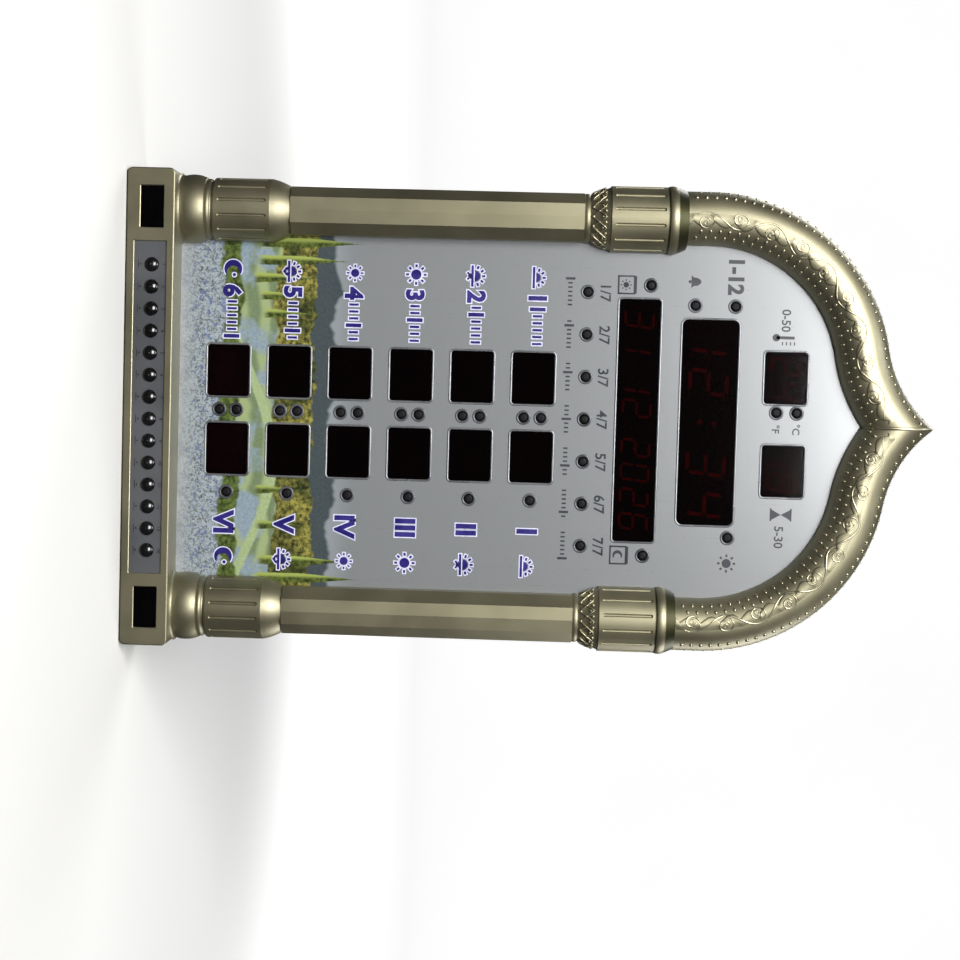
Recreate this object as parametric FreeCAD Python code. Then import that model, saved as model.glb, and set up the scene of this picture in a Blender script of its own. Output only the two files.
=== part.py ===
import FreeCAD, Part
import math
import os

# An upright prayer-time clock. X points to the reader's right, Y points away from the reader,
# Z points up, and the origin is under the middle of the base. All sizes are in millimetres.

# Overall sizes
column_spacing = 202.4
base_height = 24.3
spring_height = 279.5
case_depth = 48.0
button_rise = 1.2
base_margin = 0.3
base_ledge = 2.4
face_setback = 20.5
wall = 2.2
base_corner = 3.0
base_edge = 0.8

# Clearances of what fits together
part_gap = 0.1
lens_gap = 0.15
button_gap = 0.2
screw_gap = 0.05
hole_gap = 0.2
cover_inset = 0.3

# Columns: the radius of each stage, and its height above the base or below the arch
pedestal_radius = 18.0
cove_radius = 16.8
torus_radius = 15.9
collet_radius = 15.2
neck_radius = 14.6
groove_radius = 14.2
drum_radius = 16.0
shaft_radius = 12.0
capital_radius = 16.6
ring_radius = 17.2
seat_radius = 14.6
cove_rise = 2.0
torus_rise = 13.0
collet_rise = 13.2
neck_rise = 16.0
groove_rise = 17.0
lip_rise = 18.0
drum_rise = 46.2
collar_rise = 56.3
shaft_ring_drop = 51.6
knurl_drop = 48.6
capital_drop = 38.2
capital_top_drop = 9.6
ring_drop = 5.0
ring_bulge = 0.5
torus_bulge = 1.0
shaft_facet = 12.8
shaft_ridge = 0.6
flute_count = 6
flute_pitch_angle = 27.5
flute_radius = 0.9
flute_margin = 2.6

# Arch: a stilt, a main arc and a reverse arc up to the point
arch_offset = 1.4
arch_stilt = 12.7
arch_share = 0.768
arch_turn = 80.1
point_share = 0.7456
tube_radius = 13.5
tip_round = 3.0
tip_bite = 0.96

# Face panel and its window openings
panel_thickness = 2.0
panel_overlap = 7.5
panel_edge_share = 0.445
window_corner = 1.5
time_window_corner = 3.0
time_window = (104.0, 28.5)
time_height = 293.8
date_window = (123.0, 21.0)
date_height = 257.9
small_window = (26.2, 21.5)
upper_window_x = 23.6
upper_window_height = 332.3
prayer_window_x = 20.0
prayer_rows = 6
prayer_pitch = 31.1
prayer_top_height = 204.9

# Indicator lamps in the face: a round lens on a flange, with two leads
lamp_radius = 2.5
lamp_dome = 1.5
lamp_flange_radius = 2.9
lamp_flange = 1.0
lamp_length = 8.6
lamp_proud = 0.2
lead_width = 0.5
lead_pitch = 2.54
weekday_count = 7
weekday_pitch = 21.5
weekday_height = 231.3
colon_rise = 4.4
row_lamp_x = 42.2
calendar_lamp_x = 68.6
calendar_lamp_height = 263.0
half_day_lamp = (-59.0, 305.8)
alarm_lamp = (-59.0, 285.6)
summer_lamp = (58.2, 305.7)
warm_lamp = (-6.0, 338.4)
cool_lamp = (-6.0, 328.1)

# Window filters and number displays
filter_lip = 1.0
filter_recess = 0.6
filter_flange = 1.0
display_gap = 0.1
display_depth = 8.0
display_height = 19.0
digit_pitch = 12.6
date_groups = (2, 2, 4)
date_group_gap = 7.5
time_display_margin = 1.5

# Main board, its parts and its posts
board_thickness = 1.6
board_half_width = 80.0
board_foot = 43.0
board_shoulder = 288.0
board_neck_half_width = 58.0
board_neck = 326.0
board_head_half_width = 38.0
board_head = 348.0
post_radius = 3.0
post_x = 75.0
post_heights = (54.5, 176.2, 281.2)
top_post_height = 314.8
chip_height = 1.6
controller_size = 14.0
controller_spot = (-38.0, 231.0)
driver_size = (7.5, 15.4)
driver_spots = ((52.0, 94.0), (52.0, 125.0), (52.0, 156.0), (52.0, 187.0))
sound_chip_size = (10.0, 8.0)
sound_chip_spots = ((30.0, 231.0), (48.0, 231.0))
crystal_size = (11.2, 4.4, 3.6)
crystal_spot = (-38.0, 215.0)
capacitor_radius = 4.0
capacitor_height = 9.0
capacitor_spots = ((-66.0, 68.0), (-66.0, 80.0), (-66.0, 92.0))
cell_radius = 10.0
cell_thickness = 3.2
cell_spot = (-45.0, 176.0)
holder_wall = 1.4
holder_floor = 1.6
header_size = (18.0, 5.0, 6.0)
header_height = 53.0
power_header_size = (6.0, 5.0, 6.0)
speaker_header_height = 161.0

# Button strip in the base and the push buttons in it
strip_size = (166.6, 16.6)
strip_height = 12.3
strip_thickness = 1.5
strip_recess = 2.5
strip_corner = 0.6
strip_seat = 2.2
base_front_wall = 3.6
button_count = 14
button_pitch = 11.0
button_radius = 3.4
button_side = 0.5
button_offset = 0.8
button_flange_radius = 4.6
button_flange = 1.0
stem_radius = 2.0
stem_length = 3.0
button_travel = 0.7
press_gap = 0.1
switch_size = 6.0
switch_depth = 3.5
plunger_radius = 1.75
plunger_length = 1.5
button_board_half_width = 110.0
button_board_height = 16.6
board_post_x = 85.0

# End windows of the base, with an infrared receiver and a light sensor behind them
end_window = (21.4, 12.3)
end_window_x = 100.2
end_window_height = 12.8
end_window_recess = 1.2
end_window_lip = 1.2
end_window_flange = 1.0
end_window_corner = 0.5
sensor_block = (7.0, 8.0, 4.0)
sensor_dome = 2.6
light_sensor_radius = 2.5
light_sensor_depth = 2.2

# Back cover, screws, keyholes and vents
cover_thickness = 2.4
boss_radius = 3.5
boss_length = 12.0
screw_radius = 1.5
screw_length = 10.0
screw_head_radius = 2.8
screw_head = 1.4
small_screw_radius = 1.25
small_screw_length = 5.0
small_head_radius = 2.4
small_head = 1.2
base_boss_x = 40.0
column_boss_heights = (96.0, 211.0)
column_boss_offset = 3.0
arch_boss_offset = 4.0
arch_boss_turn = 38.0
point_boss_turn = 248.0
column_ear_heights = (66.0, 201.0)
arch_ear_turn = 52.0
ear_radius = 2.6
ear_sink = 0.4
keyhole_x = 60.0
keyhole_height = 292.0
keyhole_radius = 4.5
keyhole_slot = 4.4
keyhole_slot_length = 9.0
vent_count = 7
vent_pitch = 8.0
vent_size = (3.0, 26.0)
vent_height = 222.0
vent_rounding = 0.98

# Speaker on the back cover and the sound grille behind it
speaker_radius = 25.0
speaker_height = 124.0
speaker_depth = 9.5
speaker_seat = 2.0
speaker_flange = 1.2
speaker_metal = 0.6
cone_depth = 4.6
cone_thickness = 0.7
cone_rim = 1.6
magnet_radius = 14.0
magnet_depth = 3.6
speaker_ear_reach = 3.0
speaker_ear_radius = 3.6
grille_hole_radius = 1.5
grille_spacing = 6.0
grille_ring_count = 4

# Power inlet in the back cover
inlet_x = 66.0
inlet_height = 12.7
inlet_barrel_radius = 4.0
inlet_bore_radius = 3.0
inlet_bore_depth = 9.5
inlet_pin_radius = 1.0
inlet_pin_length = 8.5
inlet_block = (9.0, 11.0, 11.0)

# Cables held inside the case
cable_clearance = 2.8
ribbon_width = 15.2
ribbon_thickness = 1.0
cable_bend = 3.0
lead_pair_width = 2.6
lead_pair_thickness = 1.3
lead_end_gap = 0.3

# Places worked out from the sizes above
front_y = (button_rise - case_depth) / 2
rear_y = front_y + case_depth
cover_y = rear_y - cover_thickness
column_x = column_spacing / 2
column_y = front_y + base_ledge + pedestal_radius
face_y = front_y + face_setback
panel_rear_y = face_y + panel_thickness
filter_rear_y = panel_rear_y + filter_flange
display_y = filter_rear_y + display_gap
board_y = display_y + display_depth
board_rear_y = board_y + board_thickness
base_half_width = column_x + pedestal_radius + base_margin
arch_x = column_x + arch_offset
arch_radius = arch_share * arch_x
point_radius = point_share * arch_x
arch_centre_x = arch_x - arch_radius
arch_centre_z = spring_height + arch_stilt
point_angle = math.radians(arch_turn)
point_centre_x = arch_centre_x + (arch_radius + point_radius) * math.cos(point_angle)
point_centre_z = arch_centre_z + (arch_radius + point_radius) * math.sin(point_angle)
panel_edge_n = -panel_edge_share * tube_radius
panel_foot = base_height - panel_overlap
ear_offset = wall + ear_radius - ear_sink
cavity_radius = shaft_radius - wall
column_ear_depth = math.sqrt(shaft_radius ** 2 - cavity_radius ** 2)
tube_cavity_radius = tube_radius - wall
arch_ear_depth = math.sqrt(tube_radius ** 2 - tube_cavity_radius ** 2)
tip_slope = math.acos(point_centre_x / (point_radius - tube_radius))
tip_centre_z = (point_centre_z - (point_radius - tube_radius) * math.sin(tip_slope)
                - tip_bite * tip_round / math.sin(tip_slope))
strip_front_y = front_y + strip_recess - strip_thickness
strip_rear_y = front_y + strip_recess
front_wall_rear_y = front_y + base_front_wall
flange_rear_y = strip_rear_y + button_flange
stem_end_y = flange_rear_y + stem_length
plunger_y = stem_end_y + button_travel + press_gap
switch_y = plunger_y + plunger_length
button_board_y = switch_y + switch_depth
button_board_rear_y = button_board_y + board_thickness
button_z = strip_height + button_offset
cable_y = cover_y - cable_clearance


def vec(x, y, z):
    return FreeCAD.Vector(x, y, z)


def box(x0, x1, y0, y1, z0, z1):
    return Part.makeBox(x1 - x0, y1 - y0, z1 - z0, vec(x0, y0, z0))


def block(x, z, width, height, y0, y1):
    return box(x - width / 2, x + width / 2, y0, y1, z - height / 2, z + height / 2)


def rod(x, z, radius, y0, y1):
    return Part.makeCylinder(radius, y1 - y0, vec(x, y0, z), vec(0, 1, 0))


def runs_along_y(edge):
    first, last = edge.Vertexes[0].Point, edge.Vertexes[-1].Point
    return abs(last.y - first.y) > 1e-6 and math.hypot(last.x - first.x, last.z - first.z) < 1e-6


def plate(x, z, width, height, y0, y1, corner):
    """A rectangular plate across Y with rounded corners."""
    solid = block(x, z, width, height, y0, y1)
    return solid.makeFillet(corner, [edge for edge in solid.Edges if runs_along_y(edge)])


def polygon(points):
    return Part.Face(Part.makePolygon(points + points[:1]))


def prism(outline, y0, y1):
    """A solid with the outline points (x, z), between two places in Y."""
    return polygon([vec(x, y0, z) for x, z in outline]).extrude(vec(0, y1 - y0, 0))


def mirrored(shape):
    return shape.mirror(vec(0, 0, 0), vec(1, 0, 0))


def fused(shapes):
    solids = [solid for shape in shapes for solid in shape.Solids]
    return solids[0].fuse(solids[1:]).removeSplitter()


def save(node, shapes):
    """Write one node, which holds one solid or a group of like solids."""
    group = shapes if isinstance(shapes, list) else [shapes]
    solids = [solid for shape in group for solid in shape.Solids]
    result = solids[0] if len(solids) == 1 else Part.makeCompound(solids)
    result.exportStep("parts/" + node + ".step")
    print(node, len(solids), round(result.Volume, 1), result.isValid())


# Places that several pieces share

def row_height(row):
    return prayer_top_height - row * prayer_pitch


def prayer_windows(side):
    return [(side * prayer_window_x, row_height(row)) for row in range(prayer_rows)]


def windows():
    """Each window opening of the face: centre, size and corner radius."""
    spots = [
        ((0.0, time_height), time_window, time_window_corner),
        ((0.0, date_height), date_window, window_corner),
        ((-upper_window_x, upper_window_height), small_window, window_corner),
        ((upper_window_x, upper_window_height), small_window, window_corner),
    ]
    prayer_spots = prayer_windows(-1) + prayer_windows(1)
    return spots + [(spot, small_window, window_corner) for spot in prayer_spots]


def weekday_lamps():
    middle = (weekday_count - 1) / 2
    return [((day - middle) * weekday_pitch, weekday_height) for day in range(weekday_count)]


def colon_lamps():
    heights = [row_height(row) for row in range(prayer_rows)]
    return [(0.0, height + side * colon_rise) for height in heights for side in (1, -1)]


def row_lamps():
    return [(row_lamp_x, row_height(row)) for row in range(prayer_rows)]


def info_lamps():
    calendar = [(side * calendar_lamp_x, calendar_lamp_height) for side in (-1, 1)]
    return calendar + [half_day_lamp, alarm_lamp, summer_lamp, warm_lamp, cool_lamp]


def post_spots():
    sides = [(side * post_x, height) for height in post_heights for side in (-1, 1)]
    return sides + [(0.0, top_post_height)]


def button_places():
    middle = (button_count - 1) / 2
    return [(number - middle) * button_pitch for number in range(button_count)]


def arc_place(centre_x, centre_z, radius, turn):
    angle = math.radians(turn)
    return centre_x + radius * math.cos(angle), centre_z + radius * math.sin(angle)


def main_arc_place(turn, n):
    """A point (x, z) at an angle of the main arc, n outside its centreline."""
    return arc_place(arch_centre_x, arch_centre_z, arch_radius + n, turn)


def point_arc_place(turn, n):
    """A point (x, z) at an angle of the reverse arc, n outside its centreline."""
    return arc_place(point_centre_x, point_centre_z, point_radius - n, turn)


def panel_ears():
    """Where the face panel is screwed to the frame: the columns, then the arch."""
    column_ear_x = column_x - shaft_radius + ear_offset
    columns = [(column_ear_x, height) for height in column_ear_heights]
    return columns, [main_arc_place(arch_ear_turn, ear_offset - tube_radius)]


def cover_bosses():
    """Screw bosses of the right half: centre, and the wall that each one leans on."""
    wall_x = column_x + shaft_radius - wall / 2
    inner_side = base_half_width - wall
    base = [
        ((base_boss_x, wall + boss_radius), (base_boss_x, wall / 2)),
        ((inner_side - boss_radius, base_height / 2), (inner_side, base_height / 2)),
    ]
    boss_x = column_x + column_boss_offset
    columns = [((boss_x, height), (wall_x, height)) for height in column_boss_heights]
    outer_n = tube_radius - wall / 2
    arch = [
        (main_arc_place(arch_boss_turn, arch_boss_offset),
         main_arc_place(arch_boss_turn, outer_n)),
        (point_arc_place(point_boss_turn, arch_boss_offset),
         point_arc_place(point_boss_turn, outer_n)),
    ]
    return base, columns, arch


def speaker_ears():
    circle = speaker_radius + speaker_ear_reach
    return [arc_place(0.0, speaker_height, circle, 45 + 90 * corner) for corner in range(4)]


# Screws and their bosses

def boss(spot, anchor):
    """A screw boss in front of the cover, with a rib that joins it to its wall."""
    (x, z), (to_x, to_z) = spot, anchor
    front = cover_y - boss_length
    length = math.hypot(to_x - x, to_z - z)
    rib = box(0, length, front, cover_y, -wall / 2, wall / 2)
    rib.rotate(vec(0, 0, 0), vec(0, -1, 0), math.degrees(math.atan2(to_z - z, to_x - x)))
    rib.translate(vec(x, 0, z))
    return rod(x, z, boss_radius, front, cover_y).fuse(rib)


def boss_hole(spot):
    x, z = spot
    return rod(x, z, screw_radius + screw_gap, cover_y - screw_length, cover_y + 1)


def with_bosses(body, bosses):
    for spot, anchor in bosses:
        body = fused([body, boss(spot, anchor)])
    return body.cut([boss_hole(spot) for spot, anchor in bosses])


def small_hole(x, z, seat_y, direction):
    """A blind hole for a small screw that enters at seat_y and points along direction."""
    end = seat_y + direction * small_screw_length
    return rod(x, z, small_screw_radius + screw_gap, min(seat_y, end), max(seat_y, end))


def small_screw(x, z, seat_y, direction):
    """A small pan-head screw: its head seats at seat_y, its shank points along direction."""
    end = seat_y + direction * small_screw_length
    top = seat_y - direction * small_head
    shank = rod(x, z, small_screw_radius, min(seat_y, end), max(seat_y, end))
    return fused([shank, rod(x, z, small_head_radius, min(seat_y, top), max(seat_y, top))])


def cover_screw(x, z):
    seat = rear_y - screw_head
    shank = rod(x, z, screw_radius, seat - screw_length, seat)
    return fused([shank, rod(x, z, screw_head_radius, seat, rear_y)])


# The frame: base, columns and arch

def base_shell():
    full_width = 2 * base_half_width
    middle = base_height / 2
    shell = plate(0, middle, full_width, base_height, front_y, cover_y, base_corner)
    front = [edge for edge in shell.Edges if max(v.Y for v in edge.Vertexes) < front_y + 1e-6]
    shell = shell.makeFillet(base_edge, front)
    inside = box(wall - base_half_width, base_half_width - wall,
                 front_wall_rear_y, cover_y + 1, wall, base_height - wall)
    slot_half = arch_x + panel_edge_n + part_gap
    slot = box(-slot_half, slot_half, face_y, cover_y + 1, base_height / 2, base_height + 1)
    strip_pocket = plate(0, strip_height, strip_size[0] + 2 * part_gap,
                         strip_size[1] + 2 * part_gap, front_y - 1, strip_rear_y, strip_corner)
    strip_opening = block(0, strip_height, strip_size[0] - 2 * strip_seat,
                          strip_size[1] - 2 * strip_seat, front_y, front_wall_rear_y + 1)
    window_holes = [
        plate(side * end_window_x, end_window_height, end_window[0], end_window[1],
              front_y - 1, front_wall_rear_y + 1, end_window_corner)
        for side in (-1, 1)
    ]
    shell = shell.cut([inside, slot, strip_pocket, strip_opening] + window_holes)
    bosses = cover_bosses()[0]
    posts = [
        rod(side * board_post_x, strip_height, post_radius, strip_rear_y, button_board_y)
        for side in (-1, 1)
    ]
    shell = shell.fuse(posts)
    shell = with_bosses(shell, bosses + [mirror_boss(pair) for pair in bosses])
    seat = button_board_rear_y
    return shell.cut([small_hole(side * board_post_x, strip_height, seat, -1) for side in (-1, 1)])


def mirror_boss(pair):
    (x, z), (to_x, to_z) = pair
    return (-x, z), (-to_x, to_z)


def outline_edge(first, last, bulge):
    """An edge from first to last, (radius, height), that bows outwards by the bulge."""
    start = vec(column_x + first[0], column_y, first[1])
    end = vec(column_x + last[0], column_y, last[1])
    if bulge == 0:
        return Part.makeLine(start, end)
    run = end.sub(start)
    normal = vec(run.z, 0, -run.x).normalize()
    middle = start.add(run.multiply(0.5)).add(normal.multiply(bulge))
    return Part.Arc(start, middle, end).toShape()


def moulded(stages):
    """A turned front on a back that runs straight to the cover.

    Each stage is a radius, a height and the bulge of the edge that leads up to it.
    """
    edges = []
    for first, last in zip(stages, stages[1:]):
        edges.append(outline_edge(first[:2], last[:2], last[2]))
    bottom, top = stages[0], stages[-1]
    edges.insert(0, outline_edge((0, bottom[1]), bottom[:2], 0))
    edges.append(outline_edge(top[:2], (0, top[1]), 0))
    edges.append(outline_edge((0, top[1]), (0, bottom[1]), 0))
    half = Part.Face(Part.Wire(edges))
    front = half.revolve(vec(column_x, column_y, 0), vec(0, 0, -1), 180)
    right = half.extrude(vec(0, cover_y - column_y, 0))
    left = right.mirror(vec(column_x, 0, 0), vec(1, 0, 0))
    return fused([front, right, left])


def column_foot():
    base = base_height
    return moulded([
        (pedestal_radius, base, 0),
        (cove_radius, base + cove_rise, -ring_bulge),
        (torus_radius, base + torus_rise, torus_bulge),
        (collet_radius, base + collet_rise, 0),
        (neck_radius, base + neck_rise, ring_bulge),
        (groove_radius, base + groove_rise, 0),
        (drum_radius, base + lip_rise, ring_bulge),
        (drum_radius, base + drum_rise, 0),
        (shaft_radius, base + collar_rise, ring_bulge),
    ])


def column_head():
    top = spring_height
    ring_foot = top - shaft_ring_drop
    return moulded([
        (shaft_radius, ring_foot, 0),
        (shaft_radius, top - knurl_drop, ring_bulge),
        (drum_radius, top - capital_drop, 0),
        (capital_radius, top - capital_drop, 0),
        (capital_radius, top - capital_top_drop, 0),
        (ring_radius - ring_bulge, top - capital_top_drop, 0),
        (ring_radius - ring_bulge, top - ring_drop, ring_bulge),
        (seat_radius, top, 0),
    ])


def column_shaft():
    facet = shaft_facet / 2
    outline = [
        (-shaft_radius, cover_y),
        (-shaft_radius, column_y - facet),
        (-facet, column_y - shaft_radius),
        (0, column_y - shaft_radius - shaft_ridge),
        (facet, column_y - shaft_radius),
        (shaft_radius, column_y - facet),
        (shaft_radius, cover_y),
    ]
    bottom = base_height + collar_rise
    top = spring_height - shaft_ring_drop
    face = polygon([vec(column_x + x, y, bottom) for x, y in outline])
    return face.extrude(vec(0, 0, top - bottom))


def flutes(radius, low, high):
    """Upright grooves with round ends, spread over the front of a drum."""
    grooves = []
    middle = (flute_count - 1) / 2
    for number in range(flute_count):
        angle = math.radians((number - middle) * flute_pitch_angle)
        x = column_x + radius * math.sin(angle)
        y = column_y - radius * math.cos(angle)
        grooves.append(Part.makeCylinder(flute_radius, high - low, vec(x, y, low)))
        grooves.append(Part.makeSphere(flute_radius, vec(x, y, low)))
        grooves.append(Part.makeSphere(flute_radius, vec(x, y, high)))
    return grooves


def column():
    """The right column, a hollow moulding that is open at the back and on its inner side."""
    body = fused([column_foot(), column_shaft(), column_head()])
    low, high = base_height - 1, spring_height + 1
    cavity_front = Part.makeCylinder(cavity_radius, high - low, vec(column_x, column_y, low))
    cavity_rear = box(column_x - cavity_radius, column_x + cavity_radius,
                      column_y, cover_y + 1, low, high)
    ears = panel_ears()[0]
    posts = [rod(x, z, ear_radius, column_y - column_ear_depth, face_y) for x, z in ears]
    body = body.cut([cavity_front, cavity_rear])
    body = fused([body] + posts)
    panel_edge = arch_x + panel_edge_n + part_gap
    panel_slot = box(0, panel_edge, face_y, cover_y + 1, low, high)
    lower = flutes(drum_radius, base_height + lip_rise + flute_margin,
                   base_height + drum_rise - flute_margin)
    upper = flutes(capital_radius, spring_height - capital_drop + flute_margin,
                   spring_height - capital_top_drop - flute_margin)
    body = body.cut([panel_slot] + lower + upper)
    body = with_bosses(body, cover_bosses()[1])
    return body.cut([small_hole(x, z, panel_rear_y, -1) for x, z in ears])


def tube_section(radius, rear):
    """A half-round front on a square back, standing where the main arc starts."""
    left, right = arch_x - radius, arch_x + radius
    z = arch_centre_z
    arc = Part.Arc(vec(left, column_y, z), vec(arch_x, column_y - radius, z),
                   vec(right, column_y, z)).toShape()
    corners = [vec(right, column_y, z), vec(right, rear, z), vec(left, rear, z),
               vec(left, column_y, z)]
    sides = [Part.makeLine(first, last) for first, last in zip(corners, corners[1:])]
    return Part.Face(Part.Wire([arc] + sides))


def swept_along_arch(face):
    """The right half of the arch: a stilt, the main arc and the reverse arc to the middle."""
    centre = vec(arch_centre_x, 0, arch_centre_z)
    turned = face.copy()
    turned.rotate(centre, vec(0, -1, 0), arch_turn)
    stilt = face.extrude(vec(0, 0, -arch_stilt))
    main = face.revolve(centre, vec(0, -1, 0), arch_turn)
    point_centre = vec(point_centre_x, 0, point_centre_z)
    point = turned.revolve(point_centre, vec(0, 1, 0), arch_turn)
    right_half = box(0, 2 * arch_x, -case_depth, case_depth, 0, point_centre_z)
    return fused([stilt, main, point]).common(right_half)


def arch():
    """The right half of the arch, mitred at the middle and hollow but for its screw bosses."""
    ears = panel_ears()[1]
    bosses = cover_bosses()[2]
    kept = [rod(x, z, ear_radius, column_y - arch_ear_depth, face_y) for x, z in ears]
    kept += [solid for spot, anchor in bosses for solid in boss(spot, anchor).Solids]
    cavity = swept_along_arch(tube_section(tube_cavity_radius, cover_y + 1)).cut(kept)
    slot_n = (-tube_radius - 1, panel_edge_n + part_gap)
    corners = [(slot_n[0], face_y), (slot_n[1], face_y), (slot_n[1], cover_y + 1),
               (slot_n[0], cover_y + 1)]
    slot = polygon([vec(arch_x + n, y, arch_centre_z) for n, y in corners])
    holes = [boss_hole(spot) for spot, anchor in bosses]
    holes += [small_hole(x, z, panel_rear_y, -1) for x, z in ears]
    body = swept_along_arch(tube_section(tube_radius, cover_y)).cut(cavity)
    return body.cut(swept_along_arch(slot)).cut(holes).cut(tip_cut(0))


def tip_cut(inset):
    """What a round tip takes away from the sharp point, on both sides of the middle."""
    radius = tip_round - inset
    side = tip_bite * radius * math.cos(tip_slope)
    low = tip_centre_z + tip_bite * radius * math.sin(tip_slope)
    high = tip_centre_z + 2 * tip_round
    corner = box(-side, side, -case_depth, case_depth, low, high)
    return corner.cut(rod(0, tip_centre_z, radius, -case_depth, case_depth))


def arch_region(n, foot, y0, y1):
    """The plate under the arch out to n from its centreline, and down to the foot."""
    start_turn = 180 + arch_turn
    end_turn = 180 + math.degrees(math.acos(point_centre_x / (point_radius - n)))
    side_x = arch_x + n
    start = vec(side_x, y0, arch_centre_z)

    def at(place):
        return vec(place[0], y0, place[1])

    joint = at(main_arc_place(arch_turn, n))
    top = at(point_arc_place(end_turn, n))
    main = Part.Arc(start, at(main_arc_place(arch_turn / 2, n)), joint).toShape()
    halfway = at(point_arc_place((start_turn + end_turn) / 2, n))
    point = Part.Arc(joint, halfway, top).toShape()
    corners = [top, vec(0, y0, foot), vec(side_x, y0, foot), start]
    sides = [Part.makeLine(first, last) for first, last in zip(corners, corners[1:])]
    half = Part.Face(Part.Wire([main, point] + sides)).extrude(vec(0, y1 - y0, 0))
    return fused([half, mirrored(half)])


# The face: panel, filters, displays and lamps

def face_panel():
    panel = arch_region(panel_edge_n, panel_foot, face_y, panel_rear_y)
    openings = [
        plate(x, z, width, height, face_y - 1, panel_rear_y + 1, corner)
        for (x, z), (width, height), corner in windows()
    ]
    lamps = weekday_lamps() + colon_lamps() + row_lamps() + info_lamps()
    lamp_holes = [
        rod(x, z, lamp_radius + part_gap, face_y - 1, panel_rear_y + 1) for x, z in lamps
    ]
    posts = [rod(x, z, post_radius, panel_rear_y, board_y) for x, z in post_spots()]
    panel = fused([panel.cut(openings + lamp_holes)] + posts)
    screw_holes = [small_hole(x, z, board_rear_y, -1) for x, z in post_spots()]
    right = [spot for group in panel_ears() for spot in group]
    ear_holes = [
        rod(side * x, z, small_screw_radius + hole_gap, face_y - 1, panel_rear_y + 1)
        for x, z in right for side in (-1, 1)
    ]
    return panel.cut(screw_holes + ear_holes)


def window_filter(spot, size, corner):
    """A filter that fills a window opening, on a lip behind the panel."""
    x, z = spot
    width, height = size
    pane = plate(x, z, width - 2 * lens_gap, height - 2 * lens_gap,
                 face_y + filter_recess, panel_rear_y, corner)
    lip = plate(x, z, width + 2 * filter_lip, height + 2 * filter_lip,
                panel_rear_y, filter_rear_y, corner)
    return fused([pane, lip])


def small_display(spot):
    x, z = spot
    return block(x, z, 2 * digit_pitch, display_height, display_y, board_y)


def date_displays():
    widths = [digits * digit_pitch for digits in date_groups]
    left = -(sum(widths) + date_group_gap * (len(widths) - 1)) / 2
    modules = []
    for width in widths:
        modules.append(block(left + width / 2, date_height, width, display_height,
                             display_y, board_y))
        left += width + date_group_gap
    return modules


def time_display():
    width, height = time_window
    return block(0, time_height, width - 2 * time_display_margin,
                 height - time_display_margin, display_y, board_y)


def lamp(spot):
    x, z = spot
    front = face_y - lamp_proud
    rear = front + lamp_length
    lens = rod(x, z, lamp_radius, front, rear)
    lens = lens.makeFillet(lamp_dome, [e for e in lens.Edges if e.BoundBox.YMax < front + 0.01])
    flange = rod(x, z, lamp_flange_radius, rear - lamp_flange, rear)
    leads = [
        block(x + side * lead_pitch / 2, z, lead_width, lead_width, rear, board_y)
        for side in (-1, 1)
    ]
    return fused([lens, flange] + leads)


# The main board and what it carries

def main_board():
    right = [
        (board_half_width, board_foot),
        (board_half_width, board_shoulder),
        (board_neck_half_width, board_neck),
        (board_head_half_width, board_head),
    ]
    left = [(-x, z) for x, z in reversed(right)]
    holes = [
        rod(x, z, small_screw_radius + hole_gap, board_y - 1, board_rear_y + 1)
        for x, z in post_spots()
    ]
    return prism(right + left, board_y, board_rear_y).cut(holes)


def chip(spot, width, height):
    return block(spot[0], spot[1], width, height, board_rear_y, board_rear_y + chip_height)


def capacitor(spot):
    return rod(spot[0], spot[1], capacitor_radius, board_rear_y, board_rear_y + capacitor_height)


def cell_holder():
    x, z = cell_spot
    floor_y = board_rear_y + holder_floor
    rim_y = floor_y + cell_thickness
    cup = rod(x, z, cell_radius + part_gap + holder_wall, board_rear_y, rim_y)
    return cup.cut(rod(x, z, cell_radius + part_gap, floor_y, rim_y + 1))


def coin_cell():
    x, z = cell_spot
    floor_y = board_rear_y + holder_floor
    return rod(x, z, cell_radius, floor_y, floor_y + cell_thickness)


def crystal():
    width, height, depth = crystal_size
    x, z = crystal_spot
    return block(x, z, width, height, board_rear_y, board_rear_y + depth)


def header(x, z, size, y):
    return block(x, z, size[0], size[1], y, y + size[2])


def headers():
    return [
        header(0, header_height, header_size, board_rear_y),
        header(inlet_x, header_height, power_header_size, board_rear_y),
        header(0, speaker_header_height, power_header_size, board_rear_y),
        header(0, strip_height, header_size, button_board_rear_y),
    ]


# Buttons, their strip and their board

def button_strip():
    width, height = strip_size
    strip = plate(0, strip_height, width, height, strip_front_y, strip_rear_y, strip_corner)
    holes = [
        rod(x, button_z, button_radius + button_gap, strip_front_y - 1, strip_rear_y + 1)
        for x in button_places()
    ]
    return strip.cut(holes)


def button(x):
    """A domed cap that a flange keeps behind the strip, with a stem towards its switch."""
    tip = front_y - button_rise
    side = strip_front_y - button_side
    rim = vec(x + button_radius, side, button_z)
    crown = vec(x, tip, button_z)
    height = side - tip
    sphere = (button_radius ** 2 + height ** 2) / (2 * height)
    half_turn = math.asin(button_radius / sphere) / 2
    middle = vec(x + sphere * math.sin(half_turn),
                 tip + sphere * (1 - math.cos(half_turn)), button_z)
    dome = Part.Arc(rim, middle, crown).toShape()
    outline = [
        (0, tip), (0, stem_end_y), (stem_radius, stem_end_y), (stem_radius, flange_rear_y),
        (button_flange_radius, flange_rear_y), (button_flange_radius, strip_rear_y),
        (button_radius, strip_rear_y), (button_radius, side),
    ]
    corners = [vec(x + radius, y, button_z) for radius, y in outline]
    sides = [Part.makeLine(first, last) for first, last in zip(corners, corners[1:])]
    return Part.Face(Part.Wire([dome] + sides)).revolve(crown, vec(0, 1, 0), 360)


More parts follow.
